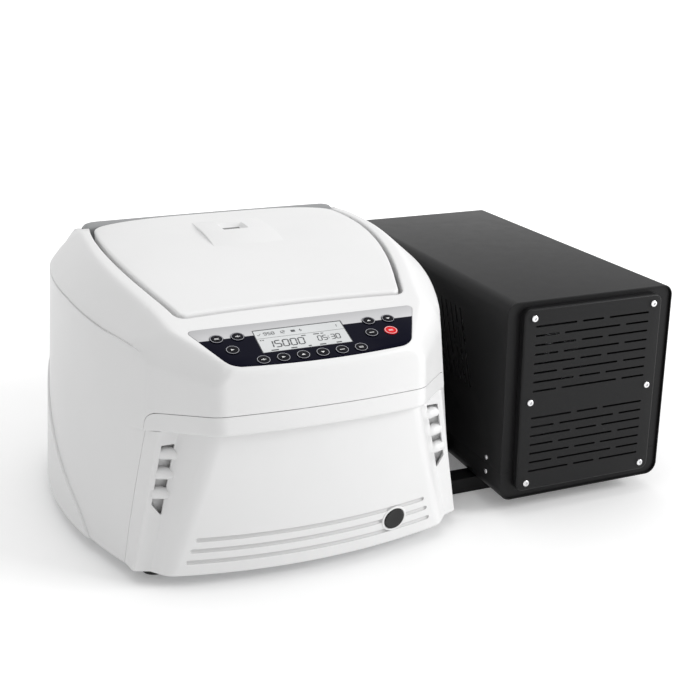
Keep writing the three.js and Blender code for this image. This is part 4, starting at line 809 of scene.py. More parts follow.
OPENING_HALF, OPENING_WIDEST_Y, OPENING_ARC = 171.3, 258, 650
OPENING_FRONT_Y, OPENING_REAR_Y, OPENING_FRONT_ARC = 25.4, 346, 1695
TRAY_HALF = 174
DECK = 283.0
OVER_ROOF = 352  # where the cutters of the roof end


def opening_x(y):
    """Half the opening's width at a depth."""
    return OPENING_HALF - (y - OPENING_WIDEST_Y) ** 2 / (2 * OPENING_ARC)


def opening_corners(rear_radius):
    corner_x = opening_x(OPENING_FRONT_Y)
    half = [(x, OPENING_FRONT_Y - x * x / (2 * OPENING_FRONT_ARC)) for x in np.linspace(0, corner_x, 12)]
    half[-1] += (14, 12)
    half += [(opening_x(y), y) for y in np.linspace(55, 325, 26)]
    half.append((opening_x(OPENING_REAR_Y), OPENING_REAR_Y, *((rear_radius, 14) if rear_radius else ())))
    return half


OPENING = resampled(outline(mirrored(opening_corners(22))), 8)
tray_rear = [(TRAY_HALF, OPENING_REAR_Y + 2), (TRAY_HALF, TAIL_Y, 6, 5)]
TRAY = resampled(outline(mirrored(opening_corners(0) + tray_rear)), 8)

outer = form("unit_outer", unit_rows(0.0, True))
inner = form("unit_inner", unit_rows(WALL, False))
skin = combine(copy_of(outer, "skin"), [copy_of(inner, "skin_inside")])

# Cutters that several pieces share

def bar_notches():
    """Room for the two cross bars under the unit."""
    return [box_piece(40, BOX_LEFT, y - GAP, y + BAR_WIDE + GAP, 0, BOX_BOTTOM) for y in BAR_DEPTHS]


def line_holes():
    """Holes for the two refrigerant lines."""
    return [across(circle(LINE_RADIUS + GAP, 24, y, LINE_Z), 219.5, BOX_LEFT + 10) for y in LINE_DEPTHS]


def rod_bore():
    return across(circle(ROD_RADIUS + GAP, 24, ROD_Y, ROD_Z), -182, 182)


def flared_tray():
    """The tray's hollow, its mouth widened to round the rim of the opening."""
    rows = [with_height(TRAY, DECK)]
    for out, drop in ((0, 2.2), (0.25, 1.1), (0.8, 0.35), (1.7, -0.1), (2.6, -0.6)):
        ring = inset(TRAY, -out)
        rows.append(with_height(ring, roof(ring[:, 0], ring[:, 1]) - drop))
    rows.append(with_height(inset(TRAY, -2.6), OVER_ROOF))
    return new_piece("tray_hollow", *loft(rows))


# The control panel, from places down the slope, with the roof's edge as zero
PANEL_BOTTOM_HALF, PANEL_TOP_HALF, PANEL_TOP = 98.3, 129, -30
PANEL_BOTTOM, PANEL_CORNER = -105.6, -99
PANEL_HALF = [
    (PANEL_BOTTOM_HALF * share, PANEL_BOTTOM + (PANEL_CORNER - PANEL_BOTTOM) * share * share)
    for share in (0, 0.18, 0.36, 0.54, 0.7)
]
PANEL_HALF += [(PANEL_BOTTOM_HALF, PANEL_CORNER, 21, 12), (PANEL_TOP_HALF, PANEL_TOP, 5, 6)]
PANEL_OUTLINE = outline(mirrored(PANEL_HALF))
DISPLAY_LEFT, DISPLAY_RIGHT, DISPLAY_TOP, DISPLAY_BOTTOM = -61.0, 38.2, 43.1, 83.4
KEYS = [
    ("key_left_1", -101, 50.8), ("key_left_2", -78.5, 50.8), ("key_left_3", -90, 72.5),
    ("key_right_1", 68.3, 50.8), ("key_right_2", 91, 50.8), ("key_right_3", 63.3, 72.5),
    ("key_stop", 85.5, 72.5),
] + [(f"key_row_{i + 1}", -10.8 + 21.3 * (i - 2.5), 95.2) for i in range(6)]
KEY_PLACES = [(x, -down) for _, x, down in KEYS]


def panel_recess():
    """The shallow seat of the panel, its rim rounded."""
    steps = ((0.3, -1.5), (0.3, -0.9), (0.55, -0.35), (1.3, 0.05), (1.9, 0.3), (1.9, 6))
    return slope_piece("panel_recess", loft([with_height(inset(PANEL_OUTLINE, -out), z) for out, z in steps]))


def display_cut(low, high, gap):
    corners = rounded_box(
        DISPLAY_LEFT - gap, DISPLAY_RIGHT + gap, -DISPLAY_BOTTOM - gap, -DISPLAY_TOP + gap, 1, 1, 4)
    return slope_piece("display_cut", loft([with_height(corners, low), with_height(corners, high)]))


def shoulder_crease(side):
    """Narrow groove along the side, just under the edge of the roof."""
    depths = (10, 14, 35, 57, 82, 110, 152, 187, 242, 320, 372, 400)
    levels = (262.5, 265.5, 269.5, 272, 273.5, 276.5, 281, 284, 285.5, 287, 287.5, 287.5)
    rows = []
    for y in np.linspace(10, 400, 70):
        z = float(np.interp(y, depths, levels))
        deep = 2.4 * min(1, (y - 10) / 6 + 0.2) * min(1, (400 - y) / 40 + 0.08)
        x = float(side_x(y, z))
        section = [(x - deep, z - 0.7), (x + 7, z - 2.2), (x + 7, z + 2.1), (x - deep, z + 1.0)]
        rows.append(at_depth(np.array(section) * [side, 1], y))
    return form("shoulder_crease", rows)


# Upper housing, with its holes for the bowl and for the latch
BOWL_RADIUS, LATCH_HALF = 133.8, 10.5
middle = form("unit_middle", unit_rows(WALL / 2, False))
TRAY_SHEET = 3
tray_body = prism(inset(TRAY, -TRAY_SHEET), DECK - TRAY_SHEET, OVER_ROOF, "tray_body")
tray_body = combine(tray_body, [middle], "INTERSECT")
tray_body = combine(tray_body, [prism(TRAY, DECK, OVER_ROOF + 1)])
housing = combine(skin, [prism(TRAY, DECK, OVER_ROOF + 1)])
housing.name = "housing"
housing = combine(housing, [tray_body], "UNION")
housing = combine(housing, [
    flared_tray(),
    posts([(0, AXIS_Y)], BOWL_RADIUS, DECK - 5, DECK + 5, 96),
    box_piece(-LATCH_HALF, LATCH_HALF, 33, 43, DECK - 5, DECK + 5),
    rod_bore(),
    panel_recess(),
    display_cut(-12, 4, GAP),
    posts(KEY_PLACES, 5.3, -8, 4, 24, on_slope),
    front_region(0.35),
    rear_region(0.25),
    shoulder_crease(-1),
    shoulder_crease(1),
    *bar_notches(),
])
dress(housing, WHITE, "frame", "upper_housing")

# Front moulding
GROOVE_RADIUS, GROOVE_DEPTH = 2.75, 2.6


def groove(height, half):
    """Cutter of a round-ended groove across the face."""
    turns = np.linspace(0.06, math.pi / 2, 8)[:-1]
    ends = [(half - GROOVE_RADIUS * (1 - math.cos(t)), max(math.sin(t), 0.14)) for t in turns]
    straight = np.linspace(-half + GROOVE_RADIUS, half - GROOVE_RADIUS, 40)
    stations = [(-x, size) for x, size in ends] + [(x, 1.0) for x in straight] + ends[::-1]
    rows = []
    for x, size in stations:
        face = face_y(x, height)
        tall, deep = GROOVE_RADIUS * size, GROOVE_DEPTH * size
        section = [(face - 4, height - tall)]
        for t in np.linspace(-math.pi / 2, math.pi / 2, 11):
            section.append((face + deep * max(math.cos(t), 0.0) ** 0.6, height + tall * math.sin(t)))
        section.append((face - 4, height + tall))
        rows.append(np.array([(x, y - FACE_LEAN * (z - height), z) for y, z in section]))
    return form("groove", rows)


BUTTON_X, BUTTON_Z, BUTTON_SIDES = 95.0, 46.4, 72
BUTTON = np.array([BUTTON_X, face_y(BUTTON_X, BUTTON_Z), BUTTON_Z])
BUTTON_OUT = Vector((BUTTON_X / FRONT_ARC, -1, -FACE_LEAN)).normalized()
BUTTON_TURN = np.array(Vector((0, 0, 1)).rotation_difference(BUTTON_OUT).to_matrix())


def at_button(points):
    return np.asarray(points, float).reshape(-1, 3) @ BUTTON_TURN.T + BUTTON


def button_piece(name, profile):
    """A round piece about the button's axis, its profile's heights out from the face."""
    vertices, faces = turned(profile, BUTTON_SIDES)
    made = new_piece(name, at_button(vertices), faces)
    tidy_mesh(made)
    return made


def gill_hole(side):
    """Cutter of the slanted opening in a pillar, its corners as (width, height, radius, steps)."""
    corners = outline([(147, 167.2, 1, 3), (164.9, 82.7, 1, 3), (174.6, 97.6, 1, 3), (161.4, 167.2, 1, 3)])
    return along_y(corners * [side, 1], -37.7, 14.3, "gill")


def gill_back(side):
    """Back wall of the pocket, a little behind the pillar's face."""
    corners = outline([(144, 171, 2, 3), (163, 78, 2, 3), (178, 96, 2, 3), (164, 171, 2, 3)])
    face = -9.0 + (167 - corners[:, 1]) * 0.091
    return form("gill_back", [at_depth(corners * [side, 1], face + deep) for deep in (9.0, 11.0)])


LOBE_RADIUS, LOBE_LONG, LOBE_SWING = 7.6, 23, math.atan2(5.5, 22.2)


def lobe(side, height):
    """One bullet-shaped fin, its tip towards the middle and its underside straight."""
    rise = (height - BOTTOM) / (BROW_LIP - BOTTOM)
    inner_x, inner_y = PILLAR_INNER[0] + (PILLAR_INNER[1] - PILLAR_INNER[0]) * rise
    centre = np.array([inner_x + 9, inner_y + 3.4])
    along = np.array([math.cos(LOBE_SWING), math.sin(LOBE_SWING)])
    rows = []
    angles = np.linspace(0, 2 * math.pi, 28, endpoint=False)
    for t in np.linspace(0, 1, 16):
        place_along = 5 - LOBE_LONG * t
        size = math.sqrt(max(1 - max(0, (t - 0.25) / 0.75) ** 2.2, 0.012))
        radius = LOBE_RADIUS * size
        level = height - (LOBE_RADIUS - radius) * 0.75
        across_y = radius * np.cos(angles)
        rows.append(np.column_stack([
            side * (centre[0] + along[0] * place_along - along[1] * across_y),
            centre[1] + along[1] * place_along + along[0] * across_y + 3.2 * (1 - t) ** 2,
            level + radius * 0.92 * np.sin(angles),
        ]))
    return form("lobe", rows)


GROOVES = ((61.5, 135.2), (47.4, 141), (32.8, 145.9))
front = combine(copy_of(outer, "front_moulding"), [inner])
front = combine(front, [front_region(-0.35)], "INTERSECT")
front = combine(front, [
    *[groove(z, half) for z, half in GROOVES],
    *[gill_hole(side) for side in (-1, 1)],
])
LOBE_TOP, LOBE_PITCH = 156, 23
lobes = [lobe(side, LOBE_TOP - LOBE_PITCH * index) for side in (-1, 1) for index in range(3)]
backs = [combine(gill_back(side), [copy_of(outer, "outer_copy")], "INTERSECT") for side in (-1, 1)]
boss = button_piece("boss", [(0, -5.5), (16.2, -5.5), (16.2, 0.1), (15.9, 0.6), (15.2, 0.9), (0, 0.9)])
front = combine(front, backs + lobes + [boss], "UNION")
front = combine(front, [
    button_piece("bore", [(0, -15), (13.3, -15), (13.3, 0.2), (14.2, 1.1), (14.2, 5), (0, 5)]),
])
dress(front, WHITE, "frame", "front_panel")
# The faces inside the grooves take the darker white, which is painted shade in the grooves; the rest keeps
# the plain white
front.data.materials.append(GROOVE_PAINTED_SHADE)
for polygon in front.data.polygons:
    u, y, z = polygon.center / MM - Vector((ORIGIN_X, ORIGIN_Y, 0))
    deep = y - float(face_y(u, z))
    in_groove = any(abs(z - level) < 2.8 and abs(u) < half for level, half in GROOVES)
    polygon.material_index = int(in_groove and 0.25 < deep < 3.1)

button = button_piece("button_cap", [
    (0, -16), (8, -16), (8, -8.3), (15.4, -8.3), (15.4, -5.8), (12.9, -5.8), (12.9, 1.1),
    (12.6, 1.45), (12, 1.6), (9.6, 1.6), (8.2, 1.35), (0, 1.2),
])
dress(button, RUBBER, "button", "front_button")

bpy.data.objects.remove(outer)

# Rear moulding, proud of the housing
def rear_shell(wall, bottom, fine):
    rows = []
    for height in np.linspace(bottom, CREASE_TOP_Z + 10, 13 if fine else 3):
        heights = np.full(UPPER.shape[1], height)
        rows.append(with_height(plan_at(UPPER, heights, wall), heights))
    return form("rear_shell", rows)


rear = combine(rear_shell(-2.7, BOTTOM, True), [rear_shell(WALL, BOTTOM - 5, False)])
rear = combine(rear, [rear_region(-0.25)], "INTERSECT")
INLET_LEFT, INLET_RIGHT, INLET_DEEP, INLET_LOW, INLET_HIGH = -171.3, -108.7, 26.3, 45.7, 78.3
inlet_back = REAR_Y + 5
rear = combine(rear, [
    box_piece(INLET_LEFT, INLET_RIGHT, inlet_back - INLET_DEEP, inlet_back, INLET_LOW, INLET_HIGH),
    *bar_notches(),
    *line_holes(),
])
rear.name = "rear_moulding"
dress(rear, WHITE, "frame", "rear_cover")

# Lid

LID_GAP = 5.0
GLASS_Y = 259.0
PAD_START, PAD_END, PAD_HALF, PAD_RISE = 188, 297, 44, 3


def crown(x, y):
    """How far the lid's outside swells over the roof's arc, in two steps from the front."""
    front_rise = 4.2 * smoothstep(y, OPENING_FRONT_Y, OPENING_FRONT_Y + 155)
    rear_rise = 4.5 * smoothstep(y, OPENING_REAR_Y - 86, OPENING_REAR_Y)
    rise = front_rise + rear_rise
    return rise * np.maximum(0, 1 - (x / opening_x(y)) ** 4)


def lid_form(name, wall, bottom, fine):
    plan = inset(OPENING, LID_GAP + wall)
    edge = 3.2 if fine else 2.0

    def top(points, drop):
        return with_height(points, lid_plane(points[:, 1]) + crown(points[:, 0], points[:, 1]) - wall - drop)

    rows = [with_height(plan, bottom), top(plan, edge)]
    for t in (np.linspace(0, math.pi / 2, 8)[1:] if fine else [math.pi / 2]):
        rows.append(top(inset(plan, edge * (1 - math.cos(t))), edge * (1 - math.sin(t))))
    last = rows[-1]
    middle_point = np.array([0.0, 200.0])
    for share in (np.linspace(1, 0.03, 46)[1:] if fine else np.linspace(1, 0.05, 12)[1:]):
        points = middle_point + (last[:, :2] - middle_point) * share
        rows.append(top(points, 0))
    return form(name, rows)


def square(half, z, radius):
    """A square with rounded corners about the sight glass."""
    return with_height(rounded_box(-half, half, GLASS_Y - half, GLASS_Y + half, radius, radius, 6), z)


def lid_pad():
    """The low arched pad on the lid."""
    rows = []
    soft = 1.0
    for y in np.linspace(PAD_START, PAD_END, 40):
        level = lid_plane(y) + crown(0.0, y)
        share = (2 * y - PAD_START - PAD_END) / (PAD_END - PAD_START)
        arc = arc_points(PAD_HALF - soft, level + PAD_RISE * (1 - share**2) - soft, soft, soft,
                         np.linspace(0, math.pi / 2, 5))
        section = [(PAD_HALF, level - PAD_RISE)] + arc
        rows.append(at_depth(np.array(section + [(-x, z) for x, z in section[::-1]]), y))
    return form("pad", rows)


LID_BOTTOM, LID_WALL = 287, 3.0
pocket_floor = float(lid_plane(GLASS_Y) + crown(0.0, GLASS_Y)) - 2
lid = lid_form("lid_skin", 0.0, LID_BOTTOM, True)
lid = combine(lid, [lid_form("lid_inner", LID_WALL, LID_BOTTOM - 5, False)])
pocket_wall = box_piece(-18.5, 18.5, GLASS_Y - 18.5, GLASS_Y + 18.5, pocket_floor - 2, OVER_ROOF)
pocket_wall = combine(pocket_wall, [lid_form("lid_middle", LID_WALL / 2, LID_BOTTOM, False)], "INTERSECT")
lid = combine(lid, [lid_pad(), pocket_wall], "UNION")
pocket = new_piece("pocket", *loft([
    square(12.6, pocket_floor, 1.5), square(16.2, pocket_floor + 4.6, 2.6), square(18, OVER_ROOF, 3.5),
]))
glass_hole = new_piece("hole", *loft([square(11, pocket_floor + z, 1) for z in (-5, 3)]))
lid = combine(lid, [pocket, glass_hole])
dress(lid, LID_WHITE, "lid", "lid_shell")


# Hinge strip behind the lid, with its two arms, a little arched along its length
STRIP_HALF, STRIP_BOTTOM, STRIP_TOP, STRIP_EDGE, STRIP_ROUND = OPENING_HALF, 309.5, 330.7, 11.8, 6.5
rows = []
for t in np.concatenate([np.linspace(0, 0.06, 7), np.linspace(0.08, 0.92, 40), np.linspace(0.94, 1, 7)]):
    x = STRIP_HALF * (2 * t - 1)
    end = min(t, 1 - t) / 0.05
    fall = 0 if end >= 1 else 5.5 * (1 - math.sqrt(1 - (1 - end) ** 2))
    shoulder = STRIP_TOP - 0.8 * (x / STRIP_HALF) ** 2 - fall - STRIP_ROUND
    front, back = ROD_Y - STRIP_EDGE, ROD_Y + STRIP_EDGE
    section = [(front, STRIP_BOTTOM), (back, STRIP_BOTTOM), (back, shoulder)]
    section += arc_points(ROD_Y, shoulder, STRIP_EDGE, STRIP_ROUND, np.linspace(0.16, math.pi - 0.16, 15))
    section += [(front, shoulder)]
    rows.append(at_width(np.array(section), x))
strip_piece = form("hinge_strip", rows)
arms = [box_piece(x - 17, x + 17, 341.3, 355, 313, 325) for x in (-100, 100)]
strip_piece = combine(strip_piece, arms, "UNION")
strip_piece = combine(strip_piece, [rod_bore()])
strip_piece.name = "hinge_strip"
dress(strip_piece, GREY, "lid", "hinge_bar")


# Control panel
panel_levels = ((0, -1.2), (0, -0.35), (0.12, -0.1), (0.4, 0))
panel = slope_piece("panel_sheet", loft([
    with_height(inset(PANEL_OUTLINE, inward), level) for inward, level in panel_levels
]))
panel = combine(panel, [
    display_cut(-3, 3, GAP),
    posts(KEY_PLACES, 7.45, -3, 3, 48, on_slope),
])
dress(panel, PANEL, "frame", "control_panel")


def printed(name, made, material, body):
    """A print on the slope, from vertices and faces."""
    vertices, faces = made
    piece = new_piece(name, on_slope(vertices), faces, material)
    tidy_mesh(piece, 1e-7)
    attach(piece, body)


def strip(name, parts, material, body, level):
    """Flat marks drawn on the slope as one piece, from closed outlines."""
    outlines = [np.asarray(points, float) for points in parts]
    solids = joined(loft([with_height(points, z) for z in level]) for points in outlines)
    printed(name, solids, material, body)


def bar(x0, y0, x1, y1, wide):
    a, b = np.array([x0, y0], float), np.array([x1, y1], float)
    along = (b - a) / np.linalg.norm(b - a)
    side = np.array([-along[1], along[0]]) * wide / 2
    return [a - side, b - side, b + side, a + side]


def rectangle(x0, x1, y0, y1):
    return [(x0, y0), (x1, y0), (x1, y1), (x0, y1)]


# Keys
def key_marks(index, x, y):
    """Small plain symbols, a different one on each key."""
    signs = [
        [bar(-2.4, 0.7, 2.4, 0.7, 0.7), bar(-2.4, -0.9, 2.4, -0.9, 0.7)],
        [bar(-2.6, 0, 2.6, 0, 0.8), bar(0, -1.5, 0, 1.5, 0.8)],
        [[(-1.6, -1.3), (2.2, 0), (-1.6, 1.3)]],
        [[(-2.2, -1.0), (2.2, -1.0), (0, 1.5)]],
        [[(-2.2, 1.0), (0, -1.5), (2.2, 1.0)]],
        [bar(-2.6, 0, 2.6, 0, 0.9)],
    ]
    return [np.array(part) + [x, y] for part in signs[index % len(signs)]]


def key_ring(x, y):
    """Vertices and faces of the thin ring on a key."""
    profile = [(6.15, 0.85), (6.65, 0.85), (6.65, 0.93), (6.15, 0.93)]
    rows = [with_height(circle(radius, KEY_SIDES, x, y), height) for radius, height in profile]
    return loft(rows + rows[:1], closed_ends=False)


KEY_RADIUS, KEY_SIDES = 7.25, 56
STEM_DEPTH = 11.6  # the stem ends above the circuit board by its travel and a small gap
for index, (name, x, down) in enumerate(KEYS):
    red = name == "key_stop"
    profile = [(0, -STEM_DEPTH), (5, -STEM_DEPTH), (5, -0.6), (KEY_RADIUS, -0.6)]
    profile += rounded_edge(KEY_RADIUS, 0.9, 0.35, 4)
    cap = slope_piece(name + "_cap", turned(profile, KEY_SIDES), (x, -down, 0))
    tidy_mesh(cap)
    dress(cap, RED_KEY if red else BLACK_KEY, name, name)
    ink = WHITE_INK if red else GREY_INK
    printed(name + "_ring", key_ring(x, -down), ink, name)
    strip(name + "_mark", key_marks(index, x, -down), WHITE_INK, name, (0.86, 0.94))

# Marks on the display: a dark line round it, signs and plain numbers
SEGMENTS = {
    "0": "abcdef", "1": "bc", "2": "abged", "3": "abgcd", "5": "afgcd", "8": "abcdefg", "9": "abcdfg",
}
DIGIT_LEAN, DIGIT_STEP = 0.08, 1.42  # sideways per height, and from one digit to the next per width


def digits(text, x, y, wide, tall, line):
    """Seven-segment digits from a place at their lower left."""
    parts = []
    for symbol in text:
        if symbol == ":":
            parts += [rectangle(x, x + line, y + tall * s, y + tall * s + line) for s in (0.25, 0.62)]
            x += line * 2.6
            continue
        left, right, low, high, mid = x, x + wide, y, y + tall, y + tall / 2
        gap = line * 0.25
        places = {
            "a": (left + gap, high, right - gap, high), "d": (left + gap, low, right - gap, low),
            "g": (left + gap, mid, right - gap, mid), "f": (left, mid + gap, left, high - gap),
            "e": (left, low + gap, left, mid - gap), "b": (right, mid + gap, right, high - gap),
            "c": (right, low + gap, right, mid - gap),
        }
        for segment in SEGMENTS[symbol]:
            x0, y0, x1, y1 = places[segment]
            parts.append(bar(x0 + (y0 - y) * DIGIT_LEAN, y0, x1 + (y1 - y) * DIGIT_LEAN, y1, line))
        x += wide * DIGIT_STEP
    return parts


MARK_LEVEL = (-0.42, -0.34)
TOP_ROW = -52.6
lcd = digits("958", -50.6, TOP_ROW - 0.4, 3.0, 4.6, 0.85)
lcd += digits("12", -34.4, TOP_ROW - 0.4, 2.8, 4.6, 0.85)
lcd += digits("1", 27.6, TOP_ROW - 0.4, 3.0, 4.4, 0.85)
lcd += digits("15000", -52.5, -75.6, 6.0, 11.2, 1.5)
lcd += digits("05:30", 3.2, -73.6, 4.1, 8.2, 1.15)
lcd += [rectangle(-20.5, -15.8, TOP_ROW - 0.2, TOP_ROW + 3.6), bar(-59.5, -58.2, 36.7, -58.2, 0.45)]
# A tick and a jagged sign, as strokes through points over the top row
for stroke_wide, points in (
    (0.7, ((-57.5, 1.2), (-56.2, -0.2), (-53.6, 3.2))),
    (0.8, ((-9.6, 3.8), (-11.2, 1.4), (-8.6, 1.6), (-10.2, -0.8))),
):
    for (x0, y0), (x1, y1) in zip(points, points[1:]):
        lcd.append(bar(x0, TOP_ROW + y0, x1, TOP_ROW + y1, stroke_wide))
# Short words of the display as plain blocks, each with its left edge and width
for low, high, blocks in (
    (-62.2, -60.6, ((-57.6, 1.6), (-54.9, 1.6), (-12.5, 5.0), (1.0, 6.5), (9.2, 3.0))),
    (-81.2, -79.4, ((-51.0, 8.0), (-29.5, 6.5), (-10.6, 3.6), (2.0, 7.0), (20.5, 6.0))),
):
    lcd += [rectangle(x, x + wide, low, high) for x, wide in blocks]
strip("display_marks", lcd, LCD_INK, "frame", MARK_LEVEL)

RIM = 0.9
rim_low, rim_high = -DISPLAY_BOTTOM + RIM, -DISPLAY_TOP - RIM
strip("display_rim", [
    rectangle(DISPLAY_LEFT, DISPLAY_RIGHT, rim_high, -DISPLAY_TOP),
    rectangle(DISPLAY_LEFT, DISPLAY_RIGHT, -DISPLAY_BOTTOM, rim_low),
    rectangle(DISPLAY_LEFT, DISPLAY_LEFT + RIM, rim_low, rim_high),
    rectangle(DISPLAY_RIGHT - RIM, DISPLAY_RIGHT, rim_low, rim_high),
], LCD_INK, "frame", MARK_LEVEL)

# Cooling box: cover, tray, grille plate, screws

def merged(name, solids):
    """Several separate closed solids as one cutter; each is (vertices, faces)."""
    made = new_piece(name, *joined(solids))
    tidy_mesh(made, 1e-7)
    return made


def capsule(a, b, wide, steps=6):
    """Outline of a slot with round ends between two places."""
    a, b = np.array(a, float), np.array(b, float)
    heading = math.atan2(*(b - a)[::-1])
    turn = np.linspace(-math.pi / 2, math.pi / 2, steps + 1)
    half = wide / 2
    far = [b + half * np.array([math.cos(heading + t), math.sin(heading + t)]) for t in turn]
    near = [a - half * np.array([math.cos(heading + t), math.sin(heading + t)]) for t in turn]
    return np.array(far + near)


box_outline = rounded_box(BOX_LEFT, BOX_RIGHT, BOX_BOTTOM, BOX_TOP, 15, 14)


def box_skin(name):
    """The whole sheet box, open at both ends, with a flange inside its front."""
    rim, sheet, flange_wide = 0.6, 1.5, 20
    levels = ((0, rim), (rim * 0.3, rim * 0.3), (rim, 0), (BOX_DEPTH - rim, 0), (BOX_DEPTH, rim))
    made = form(name, [at_depth(inset(box_outline, inward), y) for y, inward in levels])
    made = combine(made, [along_y(inset(box_outline, sheet), -5, BOX_DEPTH + 5)])
    flange = along_y(inset(box_outline, sheet / 2), 3, 4.5)
    left, right = BOX_LEFT + flange_wide, BOX_RIGHT - flange_wide
    hole = rounded_box(left, right, BOX_BOTTOM + flange_wide, BOX_TOP - flange_wide, 6, 6)
    flange = combine(flange, [along_y(hole, -5, 10)])
    return combine(made, [flange], "UNION")


def box_slab(low, high):
    """Cutter of all of the box between two heights."""
    return box_piece(BOX_LEFT - 14, BOX_RIGHT + 16, -10, 500, low, high)


# Rows of slots that lean forward in the side towards the unit, in shares of a row's length
side_slots = []
for column in range(8):
    shares = ((0, 0.465), (0.525, 1)) if column % 2 == 0 else ((0, 0.225), (0.285, 0.715), (0.775, 1))
    for start, end in shares:
        ends = []
        for share, inward in ((start, 1), (end, -1)):
            ends.append((121 + 13.4 * column - 35 * share - 0.6 * inward, 236 - 96 * share - 1.65 * inward))
        ring = capsule(ends[0], ends[1], 3.5)
        side_slots.append(loft([at_width(ring, x) for x in (BOX_LEFT - 5, BOX_LEFT + 5)]))
TRAY_TOP = 56.5
cover = combine(box_skin("cooler_cover_skin"), [
    box_slab(0, TRAY_TOP + GAP / 2),
    merged("side_slots", side_slots),
])
tray = combine(box_skin("cooler_tray_skin"), [
    box_slab(TRAY_TOP - GAP / 2, 300),
    *line_holes(),
])
for piece, replaced in ((cover, "cooler_cover"), (tray, "cooler_tray")):
    dress(piece, BLACK_PAINT, "frame", replaced)

# Grille plate: its slots in two kinds of row, in shares of its width
GRILLE_LEFT, GRILLE_WIDTH, GRILLE_FRONT, GRILLE_EDGE = 272.0, 191.5, -8, 2.4
SLOT_WIDE, SLOT_PITCH = 2.4, 11.65
LONG_SHARES = ((0.081, 0.375), (0.415, 0.572), (0.611, 0.907))
SHORT_SHARES = ((0.082, 0.251), (0.29, 0.697), (0.738, 0.908))
grille_outline = rounded_box(GRILLE_LEFT, GRILLE_LEFT + GRILLE_WIDTH, 33, 266.3, 10, 10, 12)
rows = [at_depth(grille_outline, 2.7)]
for t in np.linspace(0, math.pi / 2, 7):
    ring = inset(grille_outline, GRILLE_EDGE * (1 - math.cos(t)))
    rows.append(at_depth(ring, GRILLE_FRONT + GRILLE_EDGE * (1 - math.sin(t))))
grille = form("grille", rows)
slots = []
for count, top_height in ((8, 244.6), (7, 128.4)):
    for row in range(count):
        z = top_height - row * SLOT_PITCH
        for start, end in SHORT_SHARES if row % 2 else LONG_SHARES:
            left = GRILLE_LEFT + GRILLE_WIDTH * start + SLOT_WIDE / 2
            right = GRILLE_LEFT + GRILLE_WIDTH * end - SLOT_WIDE / 2
            ring = capsule((left, z), (right, z), SLOT_WIDE)
            slots.append(loft([at_depth(ring, y) for y in (GRILLE_FRONT - 6, GRILLE_FRONT + 6)]))
grille = combine(grille, [along_y(inset(grille_outline, 2), -6, 8), merged("slots", slots)])
dress(grille, BLACK_PAINT, "frame", "grille_plate")


def screw(name, place_mm, facing, radius=4.1, tall=2.6):
    """Socket screw head with a rounded edge and a six-sided recess, facing a direction."""
    profile = [(0, -0.8), (radius * 0.8, -0.8), (radius * 0.8, 0), (radius, 0)]
    profile += rounded_edge(radius, tall, 1.1, 5)
    vertices, faces = turned(profile, 40)
    head = new_piece(name, vertices, faces, scaled=False)
    six = circle(radius * 0.5, 6)
    points, polygons = loft([with_height(six, tall - 1.6), with_height(six, tall + 1)])
    recess = new_piece("recess", points, polygons, scaled=False)
    tidy_mesh(head)
    head = combine(head, [recess])
    turn = Vector((0, 0, 1)).rotation_difference(Vector(facing)).to_matrix()
    points = np.array([v.co for v in head.data.vertices]) @ np.array(turn).T + np.array(place_mm)
    head.data.vertices.foreach_set("co", place(points).ravel())
    head.data.update()
    head.name = name
    dress(head, SCREW, "frame")


for column, u in enumerate((284.6, 450.7)):
    for row, z in enumerate((43.7, 149.7, 255.3)):
        screw(f"grille_screw_{column}_{row}", (u, GRILLE_FRONT, z), (0, -1, 0))
for index, z in enumerate((65.0, 46.0)):
    screw(f"side_screw_{index}", (254.0, 36.0, z), (-1, 0, 0), 3.2, 2.0)

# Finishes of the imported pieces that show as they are
FINISHES = (
    (ALUMINIUM, "base_plate motor motor_plate rotor_lid condenser"),
    (RUBBER, "foot_front_left foot_rear_left foot_front_right foot_rear_right lid_seal"),
    (RUBBER, "damper_1 damper_2 damper_3 supply_line return_line"),
    (STEEL, "hinge_rod latch_hook latch_bolt chamber_bowl motor_shaft"),
    (DARK, "latch_block rotor_knob power_inlet power_switch fan_motor condenser_fan"),
    (BLACK_PAINT, "cooler_back compressor front_bar rear_bar"),
    (GLASS, "lid_window"), (GREY, "lid_liner"), (COPPER, "evaporator_coil"), (FOAM, "insulation"),
    (BLACK_ALUMINIUM, "rotor_body"), (BOARD, "circuit_board"), (DISPLAY, "display"),
)
for material, names in FINISHES:
    for name in names.split():
        piece = cad[name]
        piece.data.materials.clear()
        piece.data.materials.append(material)
        smooth(piece)

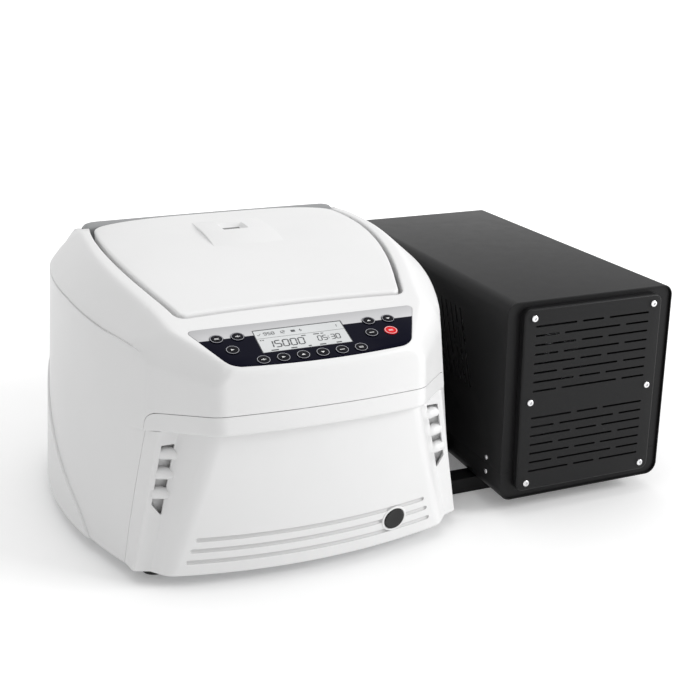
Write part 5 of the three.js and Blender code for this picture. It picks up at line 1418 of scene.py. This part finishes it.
# Floor, surroundings and lights
FLOOR_HALF = 60
floor_corners = [(x * FLOOR_HALF, y * FLOOR_HALF, 0) for x, y in ((-1, -1), (1, -1), (1, 1), (-1, 1))]
floor_material, floor_tree, floor_bsdf = shader(
    "floor", (0.93, 0.93, 0.93), 0.6, Specular_IOR_Level=0.2, Emission_Color=(1, 1, 1, 1))
# Seen by the camera the floor is white; near the object it keeps the shadow
far = node(floor_tree, "VectorMath", operation="LENGTH")
floor_tree.links.new(object_point(floor_tree), far.inputs[0])
NEAR, FAR, NEAR_GLOW, FAR_GLOW = 0.35, 1.6, 0.16, 0.5  # distances in metres, and the glow there
glow = map_range(floor_tree, far.outputs["Value"], NEAR, FAR, NEAR_GLOW, FAR_GLOW)
strength = math_node(floor_tree, "MULTIPLY", glow, seen_rays(floor_tree))
floor_tree.links.new(strength, floor_bsdf.inputs["Emission Strength"])
floor = new_piece("floor", floor_corners, [(0, 1, 2, 3)], floor_material, scaled=False)
floor.location.z = -0.0005

scene = bpy.context.scene
world = bpy.data.worlds.new("studio")
scene.world = world
world.use_nodes = True
tree = world.node_tree
background = tree.nodes["Background"]
background.inputs["Color"].default_value = (1, 1, 1, 1)
background.inputs["Strength"].default_value = 0.62
seen = node(tree, "Background", Color=(1, 1, 1, 1), Strength=1.0)
mix = node(tree, "MixShader")
tree.links.new(seen_rays(tree), mix.inputs["Fac"])
tree.links.new(background.outputs["Background"], mix.inputs[1])
tree.links.new(seen.outputs["Background"], mix.inputs[2])
tree.links.new(mix.outputs["Shader"], tree.nodes["World Output"].inputs["Surface"])


def area_light(name, place_at, target, size, power):
    data = bpy.data.lights.new(name, "AREA")
    data.shape = "RECTANGLE"
    data.size = data.size_y = size
    data.energy = power
    light = bpy.data.objects.new(name, data)
    light.location = place_at
    light.rotation_euler = (Vector(target) - Vector(place_at)).to_track_quat("-Z", "Y").to_euler()
    scene.collection.objects.link(light)


area_light("key", (2.8, -2.05, 1.8), (-0.05, 0, 0.15), 1.5, 80)
area_light("top", (0.0, 0.4, 2.6), (0, 0, 0.2), 2.2, 14)

scene.view_settings.view_transform = "Standard"
